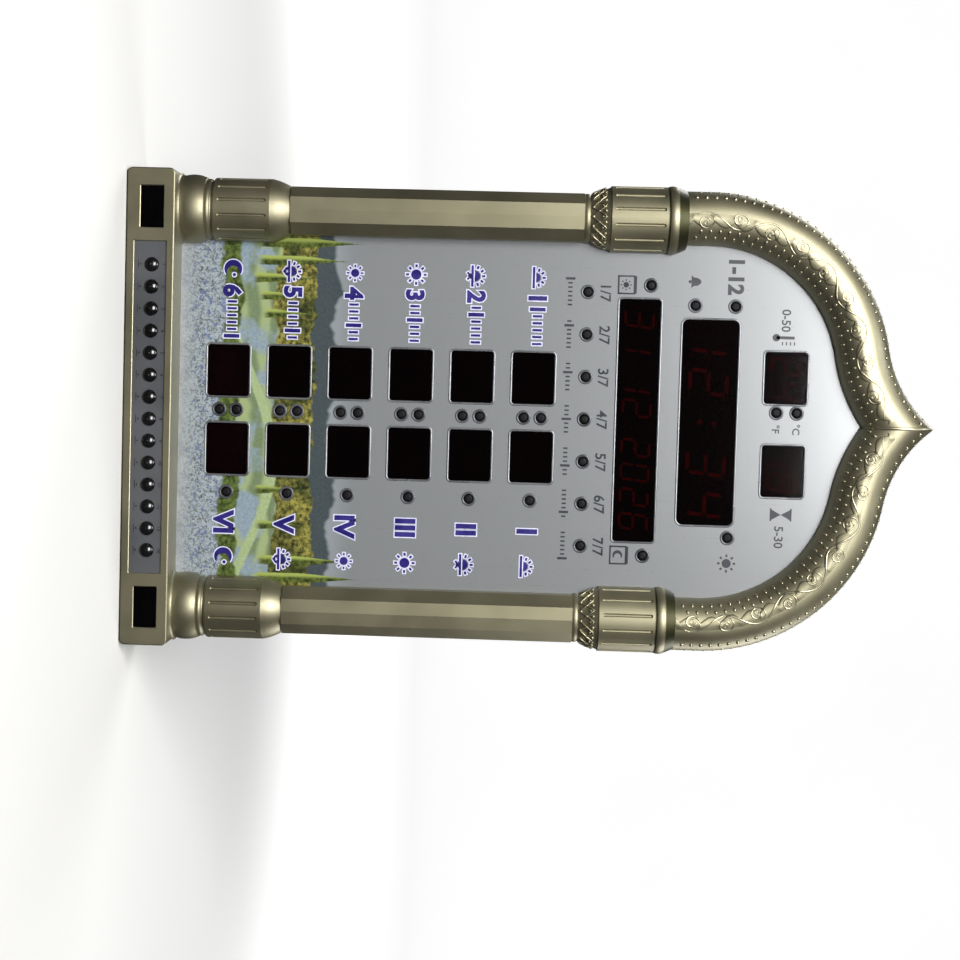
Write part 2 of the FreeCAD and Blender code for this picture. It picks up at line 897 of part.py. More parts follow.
def button_board():
    board = block(0, strip_height, 2 * button_board_half_width, button_board_height,
                  button_board_y, button_board_rear_y)
    holes = [
        rod(side * board_post_x, strip_height, small_screw_radius + hole_gap,
            button_board_y - 1, button_board_rear_y + 1)
        for side in (-1, 1)
    ]
    return board.cut(holes)


def switch(x):
    body = block(x, button_z, switch_size, switch_size, switch_y, button_board_y)
    return fused([body, rod(x, button_z, plunger_radius, plunger_y, switch_y)])


def end_window_pane(side):
    x = side * end_window_x
    width, height = end_window
    pane = plate(x, end_window_height, width - 2 * lens_gap, height - 2 * lens_gap,
                 front_y + end_window_recess, front_wall_rear_y, end_window_corner)
    lip = plate(x, end_window_height, width + 2 * end_window_lip, height + 2 * end_window_lip,
                front_wall_rear_y, front_wall_rear_y + end_window_flange, end_window_corner)
    return fused([pane, lip])


def infrared_receiver():
    width, height, depth = sensor_block
    x = -end_window_x
    front = button_board_y - depth
    body = block(x, end_window_height, width, height, front, button_board_y)
    return fused([body, Part.makeSphere(sensor_dome, vec(x, front, end_window_height))])


def light_sensor():
    return rod(end_window_x, end_window_height, light_sensor_radius,
               button_board_y - light_sensor_depth, button_board_y)


# Back cover, speaker and power inlet

def cover_screw_spots():
    right = [spot for group in cover_bosses() for spot, anchor in group]
    return [(side * x, z) for x, z in right for side in (-1, 1)]


def keyhole(x):
    entry = rod(x, keyhole_height, keyhole_radius, cover_y - 1, rear_y + 1)
    top = keyhole_height + keyhole_slot_length
    slot = box(x - keyhole_slot / 2, x + keyhole_slot / 2, cover_y - 1, rear_y + 1,
               keyhole_height, top)
    return [entry, slot, rod(x, top, keyhole_slot / 2, cover_y - 1, rear_y + 1)]


def grille_holes():
    spots = [(0.0, speaker_height)]
    for ring in range(1, grille_ring_count):
        count = 6 * ring
        for number in range(count):
            spots.append(arc_place(0.0, speaker_height, ring * grille_spacing,
                                   360 * number / count))
    return [rod(x, z, grille_hole_radius, cover_y - 1, rear_y + 1) for x, z in spots]


def vents():
    middle = (vent_count - 1) / 2
    width, height = vent_size
    return [
        plate((number - middle) * vent_pitch, vent_height, width, height,
              cover_y - 1, rear_y + 1, vent_rounding * width / 2)
        for number in range(vent_count)
    ]


def back_cover():
    side_x = column_x + shaft_radius - cover_inset
    base_x = base_half_width - cover_inset
    base = plate(0, base_height / 2, 2 * base_x, base_height - 2 * cover_inset,
                 cover_y, rear_y, base_corner)
    body = box(-side_x, side_x, cover_y, rear_y, base_height / 2, spring_height)
    top = arch_region(tube_radius - cover_inset, spring_height, cover_y, rear_y)
    seat_y = cover_y - speaker_seat
    seat = rod(0, speaker_height, speaker_radius, seat_y, cover_y)
    seat_hole = rod(0, speaker_height, speaker_radius - holder_wall, seat_y - 1, cover_y)
    ears = [rod(x, z, speaker_ear_radius, seat_y, cover_y) for x, z in speaker_ears()]
    cover = fused([base, body, top] + [fused([seat] + ears).cut(seat_hole)])
    cuts = [tip_cut(cover_inset)]
    cuts += grille_holes() + vents() + keyhole(keyhole_x) + keyhole(-keyhole_x)
    for x, z in cover_screw_spots():
        cuts.append(rod(x, z, screw_radius + hole_gap, cover_y - 1, rear_y + 1))
        cuts.append(rod(x, z, screw_head_radius + hole_gap, rear_y - screw_head, rear_y + 1))
    ear_seat = seat_y - speaker_flange
    cuts += [small_hole(x, z, ear_seat, 1) for x, z in speaker_ears()]
    cuts.append(rod(inlet_x, inlet_height, inlet_barrel_radius + part_gap,
                    cover_y - 1, rear_y + 1))
    return cover.cut(cuts)


def turned_in_speaker(outline):
    """A solid turned about the speaker's axis from points (radius, depth from its flange)."""
    seat_y = cover_y - speaker_seat
    points = [vec(radius, seat_y - depth, speaker_height) for radius, depth in outline]
    return polygon(points).revolve(vec(0, 0, speaker_height), vec(0, 1, 0), 360)


def speaker_basket():
    """A pressed cup with its flange, four ears and the magnet behind it."""
    side = speaker_radius - speaker_flange
    pot = speaker_depth - magnet_depth
    basket = turned_in_speaker([
        (speaker_radius, 0),
        (speaker_radius, speaker_flange),
        (side, speaker_flange),
        (magnet_radius, pot),
        (magnet_radius, speaker_depth),
        (0, speaker_depth),
        (0, pot - speaker_metal),
        (magnet_radius - cone_rim, pot - speaker_metal),
        (side - cone_rim, speaker_flange),
        (side - speaker_metal, speaker_flange),
        (side - speaker_metal, 0),
    ])
    seat_y = cover_y - speaker_seat
    ring_cut = rod(0, speaker_height, side, seat_y - speaker_flange - 1, seat_y + 1)
    ears = []
    for x, z in speaker_ears():
        ear = rod(x, z, speaker_ear_radius, seat_y - speaker_flange, seat_y).cut(ring_cut)
        hole = rod(x, z, small_screw_radius + hole_gap, seat_y - speaker_flange - 1, seat_y + 1)
        ears.append(ear.cut(hole))
    return fused([basket] + ears)


def speaker_cone():
    """A paper cone whose rim lies on the basket's step."""
    side = speaker_radius - speaker_flange
    rim = side - speaker_metal - part_gap
    step = speaker_flange
    inner = step - cone_thickness
    throat = magnet_radius - 2 * cone_rim
    return turned_in_speaker([
        (rim, step),
        (rim, inner),
        (side - 2 * cone_rim, inner),
        (throat, cone_depth - cone_thickness),
        (0, cone_depth - 2 * cone_thickness),
        (0, cone_depth - cone_thickness),
        (throat, cone_depth),
        (side - 2 * cone_rim, step),
    ])


def power_inlet():
    width, height, depth = inlet_block
    body = fused([
        block(inlet_x, inlet_height, width, height, cover_y - depth, cover_y),
        rod(inlet_x, inlet_height, inlet_barrel_radius, cover_y, rear_y),
    ])
    floor_y = rear_y - inlet_bore_depth
    body = body.cut(rod(inlet_x, inlet_height, inlet_bore_radius, floor_y, rear_y + 1))
    pin = rod(inlet_x, inlet_height, inlet_pin_radius, floor_y - 1, floor_y + inlet_pin_length)
    return fused([body, pin])


# Cables held inside the case

def flat_cable(x, width, thickness, route):
    """A flat cable across X along straight runs (y, z), with a round bend at each corner."""
    pieces = []
    runs = list(zip(route, route[1:]))
    trims = [0] + [cable_bend] * (len(runs) - 1) + [0]
    for number, ((y0, z0), (y1, z1)) in enumerate(runs):
        length = math.hypot(y1 - y0, z1 - z0)
        turn = math.degrees(math.atan2(z1 - z0, y1 - y0))
        start, end = trims[number], length - trims[number + 1]
        run = box(x - width / 2, x + width / 2, start, end, -thickness / 2, thickness / 2)
        run.rotate(vec(0, 0, 0), vec(1, 0, 0), turn)
        run.translate(vec(0, y0, z0))
        pieces.append(run)
    for before, corner, after in zip(route, route[1:], route[2:]):
        pieces.append(cable_corner(x, width, thickness, before, corner, after))
    return fused(pieces)


def cable_corner(x, width, thickness, before, corner, after):
    """A quarter bend that joins two square runs at their corner."""
    (y0, z0), (yc, zc), (y1, z1) = before, corner, after
    towards_before = vec(0, y0 - yc, z0 - zc).normalize()
    towards_after = vec(0, y1 - yc, z1 - zc).normalize()
    centre = vec(x, yc, zc).add(towards_before.add(towards_after).multiply(cable_bend))
    ring = Part.makeCylinder(cable_bend + thickness / 2, width, vec(x - width / 2, centre.y,
                             centre.z), vec(1, 0, 0))
    ring = ring.cut(Part.makeCylinder(cable_bend - thickness / 2, width + 2,
                    vec(x - width / 2 - 1, centre.y, centre.z), vec(1, 0, 0)))
    reach = cable_bend + thickness
    y_far = centre.y - (towards_before.y + towards_after.y) * reach
    z_far = centre.z - (towards_before.z + towards_after.z) * reach
    quarter = box(x - width, x + width, min(centre.y, y_far), max(centre.y, y_far),
                  min(centre.z, z_far), max(centre.z, z_far))
    return ring.common(quarter)


def ribbon_cable():
    socket_y = board_rear_y + header_size[2]
    start_y = button_board_rear_y + header_size[2]
    route = [(start_y, strip_height), (cable_y, strip_height), (cable_y, header_height),
             (socket_y, header_height)]
    return flat_cable(0, ribbon_width, ribbon_thickness, route)


def power_lead():
    socket_y = board_rear_y + power_header_size[2]
    route = [(cable_y, inlet_height + inlet_block[1] / 2), (cable_y, header_height),
             (socket_y, header_height)]
    return flat_cable(inlet_x, lead_pair_width, lead_pair_thickness, route)


def speaker_lead():
    socket_y = board_rear_y + power_header_size[2]
    flange_y = cover_y - speaker_seat - speaker_flange / 2
    end_z = speaker_height + speaker_radius + lead_end_gap
    route = [(socket_y, speaker_header_height), (flange_y, speaker_header_height),
             (flange_y, end_z)]
    return flat_cable(0, lead_pair_width, lead_pair_thickness, route)


# Screws

def cover_screws():
    return [cover_screw(x, z) for x, z in cover_screw_spots()]


def small_screws():
    screws = [small_screw(x, z, board_rear_y, -1) for x, z in post_spots()]
    right = [spot for group in panel_ears() for spot in group]
    for side in (-1, 1):
        screws += [small_screw(side * x, z, panel_rear_y, -1) for x, z in right]
        screws.append(small_screw(side * board_post_x, strip_height, button_board_rear_y, -1))
    ear_seat = cover_y - speaker_seat - speaker_flange
    return screws + [small_screw(x, z, ear_seat, 1) for x, z in speaker_ears()]


def build():
    os.makedirs("parts", exist_ok=True)
    right_column = column()
    right_arch = arch()
    save("base_shell", base_shell())
    save("column_right", right_column)
    save("column_left", mirrored(right_column))
    save("arch_right", right_arch)
    save("arch_left", mirrored(right_arch))
    save("face_panel", face_panel())

    names = ["filter_time", "filter_date", "filter_temperature", "filter_iqamah"]
    for name, (spot, size, corner) in zip(names, windows()):
        save(name, window_filter(spot, size, corner))
    prayer_spots = windows()[len(names):]
    save("filters_prayer", [window_filter(*window) for window in prayer_spots])
    save("display_time", time_display())
    save("displays_date", date_displays())
    save("display_temperature", small_display((-upper_window_x, upper_window_height)))
    save("display_iqamah", small_display((upper_window_x, upper_window_height)))
    save("displays_prayer_left", [small_display(spot) for spot in prayer_windows(-1)])
    save("displays_prayer_right", [small_display(spot) for spot in prayer_windows(1)])
    save("lamps_weekday", [lamp(spot) for spot in weekday_lamps()])
    save("lamps_colon", [lamp(spot) for spot in colon_lamps()])
    save("lamps_prayer", [lamp(spot) for spot in row_lamps()])
    save("lamps_info", [lamp(spot) for spot in info_lamps()])

    save("main_board", main_board())
    save("controller_chip", chip(controller_spot, controller_size, controller_size))
    save("driver_chips", [chip(spot, *driver_size) for spot in driver_spots])
    save("sound_chips", [chip(spot, *sound_chip_size) for spot in sound_chip_spots])
    save("crystal", crystal())
    save("capacitors", [capacitor(spot) for spot in capacitor_spots])
    save("coin_cell_holder", cell_holder())
    save("coin_cell", coin_cell())
    save("board_headers", headers())

    save("button_strip", button_strip())
    for number, x in enumerate(button_places(), 1):
        save(f"button_{number:02d}", button(x))
    save("button_board", button_board())
    save("button_switches", [switch(x) for x in button_places()])
    save("end_window_left", end_window_pane(-1))
    save("end_window_right", end_window_pane(1))
    save("infrared_receiver", infrared_receiver())
    save("light_sensor", light_sensor())

    save("back_cover", back_cover())
    save("speaker_basket", speaker_basket())
    save("speaker_cone", speaker_cone())
    save("power_inlet", power_inlet())
    save("ribbon_cable", ribbon_cable())
    save("power_lead", power_lead())
    save("speaker_lead", speaker_lead())
    save("cover_screws", cover_screws())
    save("small_screws", small_screws())


build()
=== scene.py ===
import math

import bpy
from mathutils import Matrix, Vector


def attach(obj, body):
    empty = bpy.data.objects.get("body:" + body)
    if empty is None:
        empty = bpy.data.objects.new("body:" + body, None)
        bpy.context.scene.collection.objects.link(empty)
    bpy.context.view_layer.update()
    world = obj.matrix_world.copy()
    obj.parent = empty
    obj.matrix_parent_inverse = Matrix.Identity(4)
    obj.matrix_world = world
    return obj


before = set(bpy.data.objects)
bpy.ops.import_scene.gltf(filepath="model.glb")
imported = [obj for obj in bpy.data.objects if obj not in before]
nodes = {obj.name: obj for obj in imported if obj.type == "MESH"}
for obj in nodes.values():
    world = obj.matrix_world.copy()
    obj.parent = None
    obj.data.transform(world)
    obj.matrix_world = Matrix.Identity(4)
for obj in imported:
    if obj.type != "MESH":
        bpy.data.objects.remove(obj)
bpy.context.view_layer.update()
scene = bpy.context.scene

# Places on the clock, in millimetres of the CAD frame

ARCH_X = 102.6
SPRING_Z = 279.5
ARCH_STILT = 12.7
ARCH_RADIUS = 0.768 * ARCH_X
POINT_RADIUS = 0.7456 * ARCH_X
ARCH_TURN = math.radians(80.1)
TUBE_RADIUS = 13.5
TUBE_Y = -3.0
FACE_Y = -2.9
STRIP_Y = -22.4
COLUMN_X = 101.2
DISPLAY_Y = 0.2
KNURL_Z = 230.9
KNURL_RISE = 10.4
KNURL_FOOT_RADIUS = 12.0
KNURL_FLARE = 4.0
KNURL_SWELL = 2.0
ARCH_CENTRE = (ARCH_X - ARCH_RADIUS, SPRING_Z + ARCH_STILT)
POINT_CENTRE = (
    ARCH_CENTRE[0] + (ARCH_RADIUS + POINT_RADIUS) * math.cos(ARCH_TURN),
    ARCH_CENTRE[1] + (ARCH_RADIUS + POINT_RADIUS) * math.sin(ARCH_TURN),
)
ROW_Z = [204.9 - 31.1 * row for row in range(6)]
SMALL_WINDOW = (26.2, 21.5)
WEEKDAY_X = [21.5 * (day - 3) for day in range(7)]
WEEKDAY_Z = 231.3
CALENDAR_LAMPS = [(-68.6, 263.0), (68.6, 263.0)]
MODE_LAMPS = [(-59.0, 305.8), (-59.0, 285.6), (58.2, 305.7)]
DEGREE_LAMPS = [(-6.0, 338.4), (-6.0, 328.1)]
# x, z, width, height, corner radius
WINDOWS = (
    [(0, 293.8, 104.0, 28.5, 3.0), (0, 257.9, 123.0, 21.0, 1.5)]
    + [(x, 332.3) + SMALL_WINDOW + (1.5,) for x in (-23.6, 23.6)]
    + [(x, z) + SMALL_WINDOW + (1.5,) for x in (-20, 20) for z in ROW_Z]
)
LATTICE_DIAMONDS = 8
LATTICE_HALF_TURN = math.radians(88)
LATTICE_LIMIT = math.radians(87)
LATTICE_FOOT = 0.05
LATTICE_RISE = 0.72
LATTICE_STEPS = 12
CONE_TILT = -0.35
# Radius of the darker grey ring of painted shade round each lamp
LAMP_SHADE_RADIUS = 3.15
BASE_FRAMES = [
    # x, z, width, height, y
    (-100.2, 12.8, 21.4, 12.3, -22.3),
    (100.2, 12.8, 21.4, 12.3, -22.3),
    (0, 12.3, 166.8, 16.8, -22.5),
]
LAMPS = (
    [(x, WEEKDAY_Z) for x in WEEKDAY_X]
    + [(0, z + rise) for z in ROW_Z for rise in (-4.4, 4.4)]
    + [(42.2, z) for z in ROW_Z]
    + CALENDAR_LAMPS + MODE_LAMPS + DEGREE_LAMPS
)

# Marks on the face

# A capital's height as a share of the font's size
CAPITAL_HEIGHT = 0.7
LEFT_ICON_X = -71.0
LEFT_NUMBER_X = -60.6
ROW_PIPS_X = -55.0
ROW_PIP_PITCH = 3.5
RIGHT_NUMBER_X = 58.0
RIGHT_ICON_X = 76.0
WEEKDAY_PIP_PITCH = 2.2
# Half width, and the drop from the lamp to the top and to the foot
CALENDAR_BOX = (4.4, 8.0, 16.4)
THERMOMETER = (-44.0, 326.8)
HOURGLASS = (45.6, 332.3)
BUTTON_PITCH = 11.0
STRIP_NUMBER_Z = 19.2
STRIP_BAR_Z = 6.4
STRIP_DOT_Z = 7.5
DIGIT_LEAN = 0.12
TIME_Z = 293.8
# How far the marks stand off the surface they are on, and how deep they sink into it
OUTLINE_RISE = 0.03
LABEL_RISE = 0.07
SMALL_RISE = 0.05
MARK_SINK = 0.1

# Camera, stage and light, in metres

LENS = 62.6272
SENSOR_WIDTH = 36
SHIFT = (0.0346967, -0.0166548)
CAMERA_PLACE = (-0.0174786, -0.8529, 0.1884773)
CAMERA_RIGHT = (-0.0278252, 0.0322982, 0.9990909)
CAMERA_UP = (-0.9983827, 0.0486702, -0.0293788)
AIM = (0, 0, 0.2)
LIGHTS = (
    # name, place, size, power, colour
    ("key", (-0.28, -1.20, 0.95), (1.0, 0.72), 31, (1.0, 0.985, 0.96)),
    ("top_fill", (-0.1, -0.3, 1.5), (0.5, 0.5), 4, (0.94, 0.97, 1.0)),
    ("back_fill", (-0.9, 1.3, 1.1), (0.9, 0.9), 14, (1.0, 1.0, 1.0)),
    ("side_fill", (1.25, 0.45, 0.75), (0.8, 0.8), 8, (1.0, 1.0, 1.0)),
)
WORLD_COLOUR = (0.50, 0.52, 0.56, 1)
WORLD_STRENGTH = 0.05
FLOOR_Z = -0.0002
FLOOR_RADIUS = 0.42
GLOW_RADIUS = 1.15
COVE_START = 3.4
COVE_RADIUS = 0.6
COVE_STEPS = 12
DOME = [(4.0, 2.2), (3.2, 3.8), (0.001, 4.6)]


def add_camera():
    data = bpy.data.cameras.new("camera")
    data.lens = LENS
    data.sensor_width = SENSOR_WIDTH
    data.shift_x, data.shift_y = SHIFT
    data.dof.use_dof = False
    obj = bpy.data.objects.new("camera", data)
    right, up = Vector(CAMERA_RIGHT), Vector(CAMERA_UP)
    back = right.cross(up)
    place = Matrix((right, up, back)).transposed().to_4x4()
    place.translation = CAMERA_PLACE
    obj.matrix_world = place
    scene.collection.objects.link(obj)
    scene.camera = obj


def add_light(name, place, size, power, colour):
    data = bpy.data.lights.new(name, "AREA")
    data.shape = "RECTANGLE"
    data.size, data.size_y = size
    data.energy = power
    data.color = colour
    obj = bpy.data.objects.new(name, data)
    obj.location = place
    obj.rotation_mode = "QUATERNION"
    obj.rotation_quaternion = (Vector(AIM) - Vector(place)).to_track_quat("-Z", "Y")
    scene.collection.objects.link(obj)


class Paint:
    """A node material, built by small calls that return output sockets."""

    def __init__(self, name, **shader):
        self.material = bpy.data.materials.new(name)
        self.material.use_nodes = True
        self.tree = self.material.node_tree
        self.shader = self.tree.nodes["Principled BSDF"]
        for key, value in shader.items():
            self.set(key, value)
        self.place = self.node("ShaderNodeTexCoord").outputs["Object"]

    def set(self, key, value):
        socket = self.shader.inputs[key.replace("_", " ").title().replace("Ior", "IOR")]
        if isinstance(value, bpy.types.NodeSocket):
            self.tree.links.new(value, socket)
        elif isinstance(value, tuple):
            socket.default_value = tuple(value) + (1.0,)
        else:
            socket.default_value = value

    def node(self, kind, inputs=(), **settings):
        node = self.tree.nodes.new(kind)
        for key, value in settings.items():
            setattr(node, key, value)
        for index, value in inputs:
            if isinstance(value, bpy.types.NodeSocket):
                self.tree.links.new(value, node.inputs[index])
            elif isinstance(value, tuple) and len(node.inputs[index].default_value) == 4:
                node.inputs[index].default_value = tuple(value) + (1.0,)
            else:
                node.inputs[index].default_value = value
        return node

    def sum(self, kind, *values):
        inputs = list(enumerate(values))
        return self.node("ShaderNodeMath", inputs, operation=kind).outputs[0]

    def mix(self, factor, first, second):
        inputs = [(0, factor), (6, first), (7, second)]
        return self.node("ShaderNodeMix", inputs, data_type="RGBA").outputs[2]

    def noise(self, scale, detail=2.0, vector=None, roughness=0.5):
        inputs = [("Vector", vector or self.place), ("Scale", scale), ("Detail", detail),
                  ("Roughness", roughness)]
        return self.node("ShaderNodeTexNoise", inputs).outputs["Fac"]

    def step(self, value, low, high, first=0.0, last=1.0):
        inputs = [("Value", value), ("From Min", low), ("From Max", high),
                  ("To Min", first), ("To Max", last)]
        node = self.node("ShaderNodeMapRange", inputs, interpolation_type="SMOOTHSTEP")
        return node.outputs["Result"]

    def bump(self, height, strength, distance):
        inputs = [("Height", height), ("Strength", strength), ("Distance", distance)]
        self.set("normal", self.node("ShaderNodeBump", inputs).outputs["Normal"])


def rgb(red, green, blue):
    """A colour from its screen values, 0 to 255."""
    linear = []
    for value in (red, green, blue):
        value /= 255
        linear.append(value / 12.92 if value <= 0.04045 else ((value + 0.055) / 1.055) ** 2.4)
    return tuple(linear)


def grained(name, dark, light, grain=2400, wear=28, rough=(0.3, 0.45), bump=0.08,
            painted_shade_bands=(), **shader):
    """A moulded or painted finish: patchy colour, uneven gloss and a fine grain.

    Bands of painted shade are given as heights, from and to; the colour is darker olive there."""
    paint = Paint(name, **shader)
    patches = paint.step(paint.noise(wear, 4.0), 0.3, 0.7)
    fine = paint.noise(grain, 2.0)
    colour = paint.mix(patches, dark, light)
    height = paint.node("ShaderNodeSeparateXYZ", [(0, paint.place)]).outputs["Z"]
    soft = 0.0003
    # Painted shade: darker olive bands at the given heights stand for shade in the recesses
    for low, high in painted_shade_bands:
        over = paint.step(height, low / 1000 - soft, low / 1000 + soft)
        under = paint.step(height, high / 1000 + soft, high / 1000 - soft)
        colour = paint.mix(paint.sum("MULTIPLY", over, under), colour, rgb(66, 66, 42))
    paint.set("base_color", colour)
    gloss = paint.sum("ADD", paint.sum("MULTIPLY", patches, 0.5), paint.sum("MULTIPLY", fine, 0.5))
    paint.set("roughness", paint.step(gloss, 0.2, 0.8, *rough))
    paint.bump(fine, bump, 0.0002)
    return paint


def round_stage(name, profile, sides=96):
    """A surface turned round the vertical axis from (radius, height) pairs."""
    verts, faces = [], []
    for radius, height in profile:
        for side in range(sides):
            turn = 2 * math.pi * side / sides
            verts.append((radius * math.cos(turn), radius * math.sin(turn), height))
    for ring in range(len(profile) - 1):
        for side in range(sides):
            low, high = ring * sides, (ring + 1) * sides
            other = (side + 1) % sides
            faces.append((low + side, low + other, high + other, high + side))
    mesh = bpy.data.meshes.new(name)
    mesh.from_pydata(verts, [], faces)
    mesh.shade_smooth()
    obj = bpy.data.objects.new(name, mesh)
    scene.collection.objects.link(obj)
    return obj


def pale_paint(name):
    """Matt near-white, slightly cloudy."""
    paint = Paint(name, roughness=0.85, specular_ior_level=0.1)
    clouds = paint.noise(3.0, 3.0)
    paint.set("base_color", paint.mix(clouds, rgb(228, 228, 227), rgb(234, 234, 233)))
    return paint


def add_stage():
    """A pale round floor, and a pale backdrop round it that gives the clock no light."""
    floor = round_stage("floor", [(0.001, FLOOR_Z), (FLOOR_RADIUS, FLOOR_Z)])
    floor.data.materials.append(pale_paint("floor").material)
    wall = [(FLOOR_RADIUS, FLOOR_Z), (COVE_START, FLOOR_Z)]
    for step in range(1, COVE_STEPS + 1):
        turn = math.radians(90 * step / COVE_STEPS)
        wall.append((COVE_START + COVE_RADIUS * math.sin(turn),
                     COVE_RADIUS - COVE_RADIUS * math.cos(turn)))
    backdrop = round_stage("backdrop", wall + DOME)
    paint = pale_paint("backdrop")
    clouds = paint.noise(1.5, 3.0)
    paint.set("emission_color", paint.mix(clouds, rgb(240, 240, 240), rgb(246, 246, 246)))
    split = paint.node("ShaderNodeSeparateXYZ", [(0, paint.place)])
    across = paint.sum("POWER", split.outputs["X"], 2.0)
    away = paint.sum("POWER", split.outputs["Y"], 2.0)
    reach = paint.sum("SQRT", paint.sum("ADD", across, away))
    high = paint.step(split.outputs["Z"], 0.1, 1.0)
    far = paint.step(reach, FLOOR_RADIUS, GLOW_RADIUS)
    paint.set("emission_strength", paint.sum("MAXIMUM", high, far))
    backdrop.data.materials.append(paint.material)
    floor.visible_glossy = False
    backdrop.visible_glossy = False
    backdrop.visible_diffuse = False
    backdrop.visible_transmission = False
    backdrop.visible_shadow = False


add_camera()
add_stage()
world = bpy.data.worlds.new("studio")
world.use_nodes = True
sky = world.node_tree.nodes["Background"]
sky.inputs["Color"].default_value = WORLD_COLOUR
sky.inputs["Strength"].default_value = WORLD_STRENGTH
scene.world = world
for light in LIGHTS:
    add_light(*light)
scene.view_settings.view_transform = "Standard"

# Meshes


def piece(name, verts, faces, paint, body="case", smooth=True):
    """An object from millimetres of the CAD frame, riding on a body."""
    mesh = bpy.data.meshes.new(name)
    mesh.from_pydata([tuple(c / 1000 for c in v) for v in verts], [], faces)
    if smooth:
        mesh.shade_smooth()
    mesh.materials.append(paint.material)
    obj = bpy.data.objects.new(name, mesh)
    scene.collection.objects.link(obj)
    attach(obj, body)


class Solid:
    """Vertices and faces of one piece, gathered part by part."""

    def __init__(self):
        self.verts = []
        self.faces = []

    def add(self, verts, faces):
        start = len(self.verts)
        self.verts += [tuple(v) for v in verts]
        self.faces += [tuple(start + i for i in face) for face in faces]

    def bead(self, centre, along, across, normal, sizes, rings=6, sides=10):
        """An ellipsoid with its three half sizes along three directions."""
        centre, along, across, normal = map(Vector, (centre, along, across, normal))
        verts = [centre + normal * sizes[2]]
        for ring in range(1, rings):
            lift = math.pi * ring / rings
            for side in range(sides):
                turn = 2 * math.pi * side / sides
                verts.append(
                    centre
                    + along * (sizes[0] * math.sin(lift) * math.cos(turn))
                    + across * (sizes[1] * math.sin(lift) * math.sin(turn))
                    + normal * (sizes[2] * math.cos(lift))
                )
        verts.append(centre - normal * sizes[2])
        last = len(verts) - 1
        faces = []
        for side in range(sides):
            other = (side + 1) % sides
            faces.append((0, 1 + side, 1 + other))
            for ring in range(rings - 2):
                low, high = 1 + ring * sides, 1 + (ring + 1) * sides
                faces.append((low + side, high + side, high + other, low + other))
            low = 1 + (rings - 2) * sides
            faces.append((last, low + other, low + side))
        self.add(verts, faces)

    def tube(self, path, normals, radius, height, sides=8, taper=0.35):
        """A cord with an oval section along a path on a surface, thinner at its ends."""
        path = [Vector(p) for p in path]
        count = len(path)
        verts, faces = [], []
        for i, point in enumerate(path):
            ahead = (path[min(i + 1, count - 1)] - path[max(i - 1, 0)]).normalized()
            normal = Vector(normals[i]).normalized()
            across = ahead.cross(normal).normalized()
            near_end = min(i, count - 1 - i) / max(1, 0.12 * count)
            scale = min(1.0, taper + (1 - taper) * near_end)
            for side in range(sides):
                turn = 2 * math.pi * side / sides
                verts.append(point + across * (radius * scale * math.cos(turn))
                             + normal * (height * scale * math.sin(turn)))
        for i in range(count - 1):
            for side in range(sides):
                other = (side + 1) % sides
                low, high = i * sides, (i + 1) * sides
                faces.append((low + side, low + other, high + other, high + side))
        faces.append(tuple(range(sides))[::-1])
        faces.append(tuple(range((count - 1) * sides, count * sides)))
        self.add(verts, faces)

    def loop(self, path, normals, radius, height, sides=8):
        """A closed ring with an oval section along a path on a surface."""
        path = [Vector(p) for p in path]
        count = len(path)
        verts, faces = [], []
        for i, point in enumerate(path):
            ahead = (path[(i + 1) % count] - path[i - 1]).normalized()
            normal = Vector(normals[i]).normalized()
            across = ahead.cross(normal).normalized()
            for side in range(sides):
                turn = 2 * math.pi * side / sides
                verts.append(point + across * (radius * math.cos(turn))
                             + normal * (height * math.sin(turn)))
        for i in range(count):
            for side in range(sides):
                other = (side + 1) % sides
                low, high = i * sides, (i + 1) % count * sides
                faces.append((low + side, low + other, high + other, high + side))
        self.add(verts, faces)

    def mirrored(self):
        """Adds the same parts again on the other side of x = 0."""
        verts = [(-x, y, z) for x, y, z in self.verts]
        faces = [tuple(reversed(face)) for face in self.faces]
        self.add(verts, faces)
        return self

    def make(self, name, paint, slot, body="case", smooth=True):
        piece(name, self.verts, self.faces, paint, body, smooth)


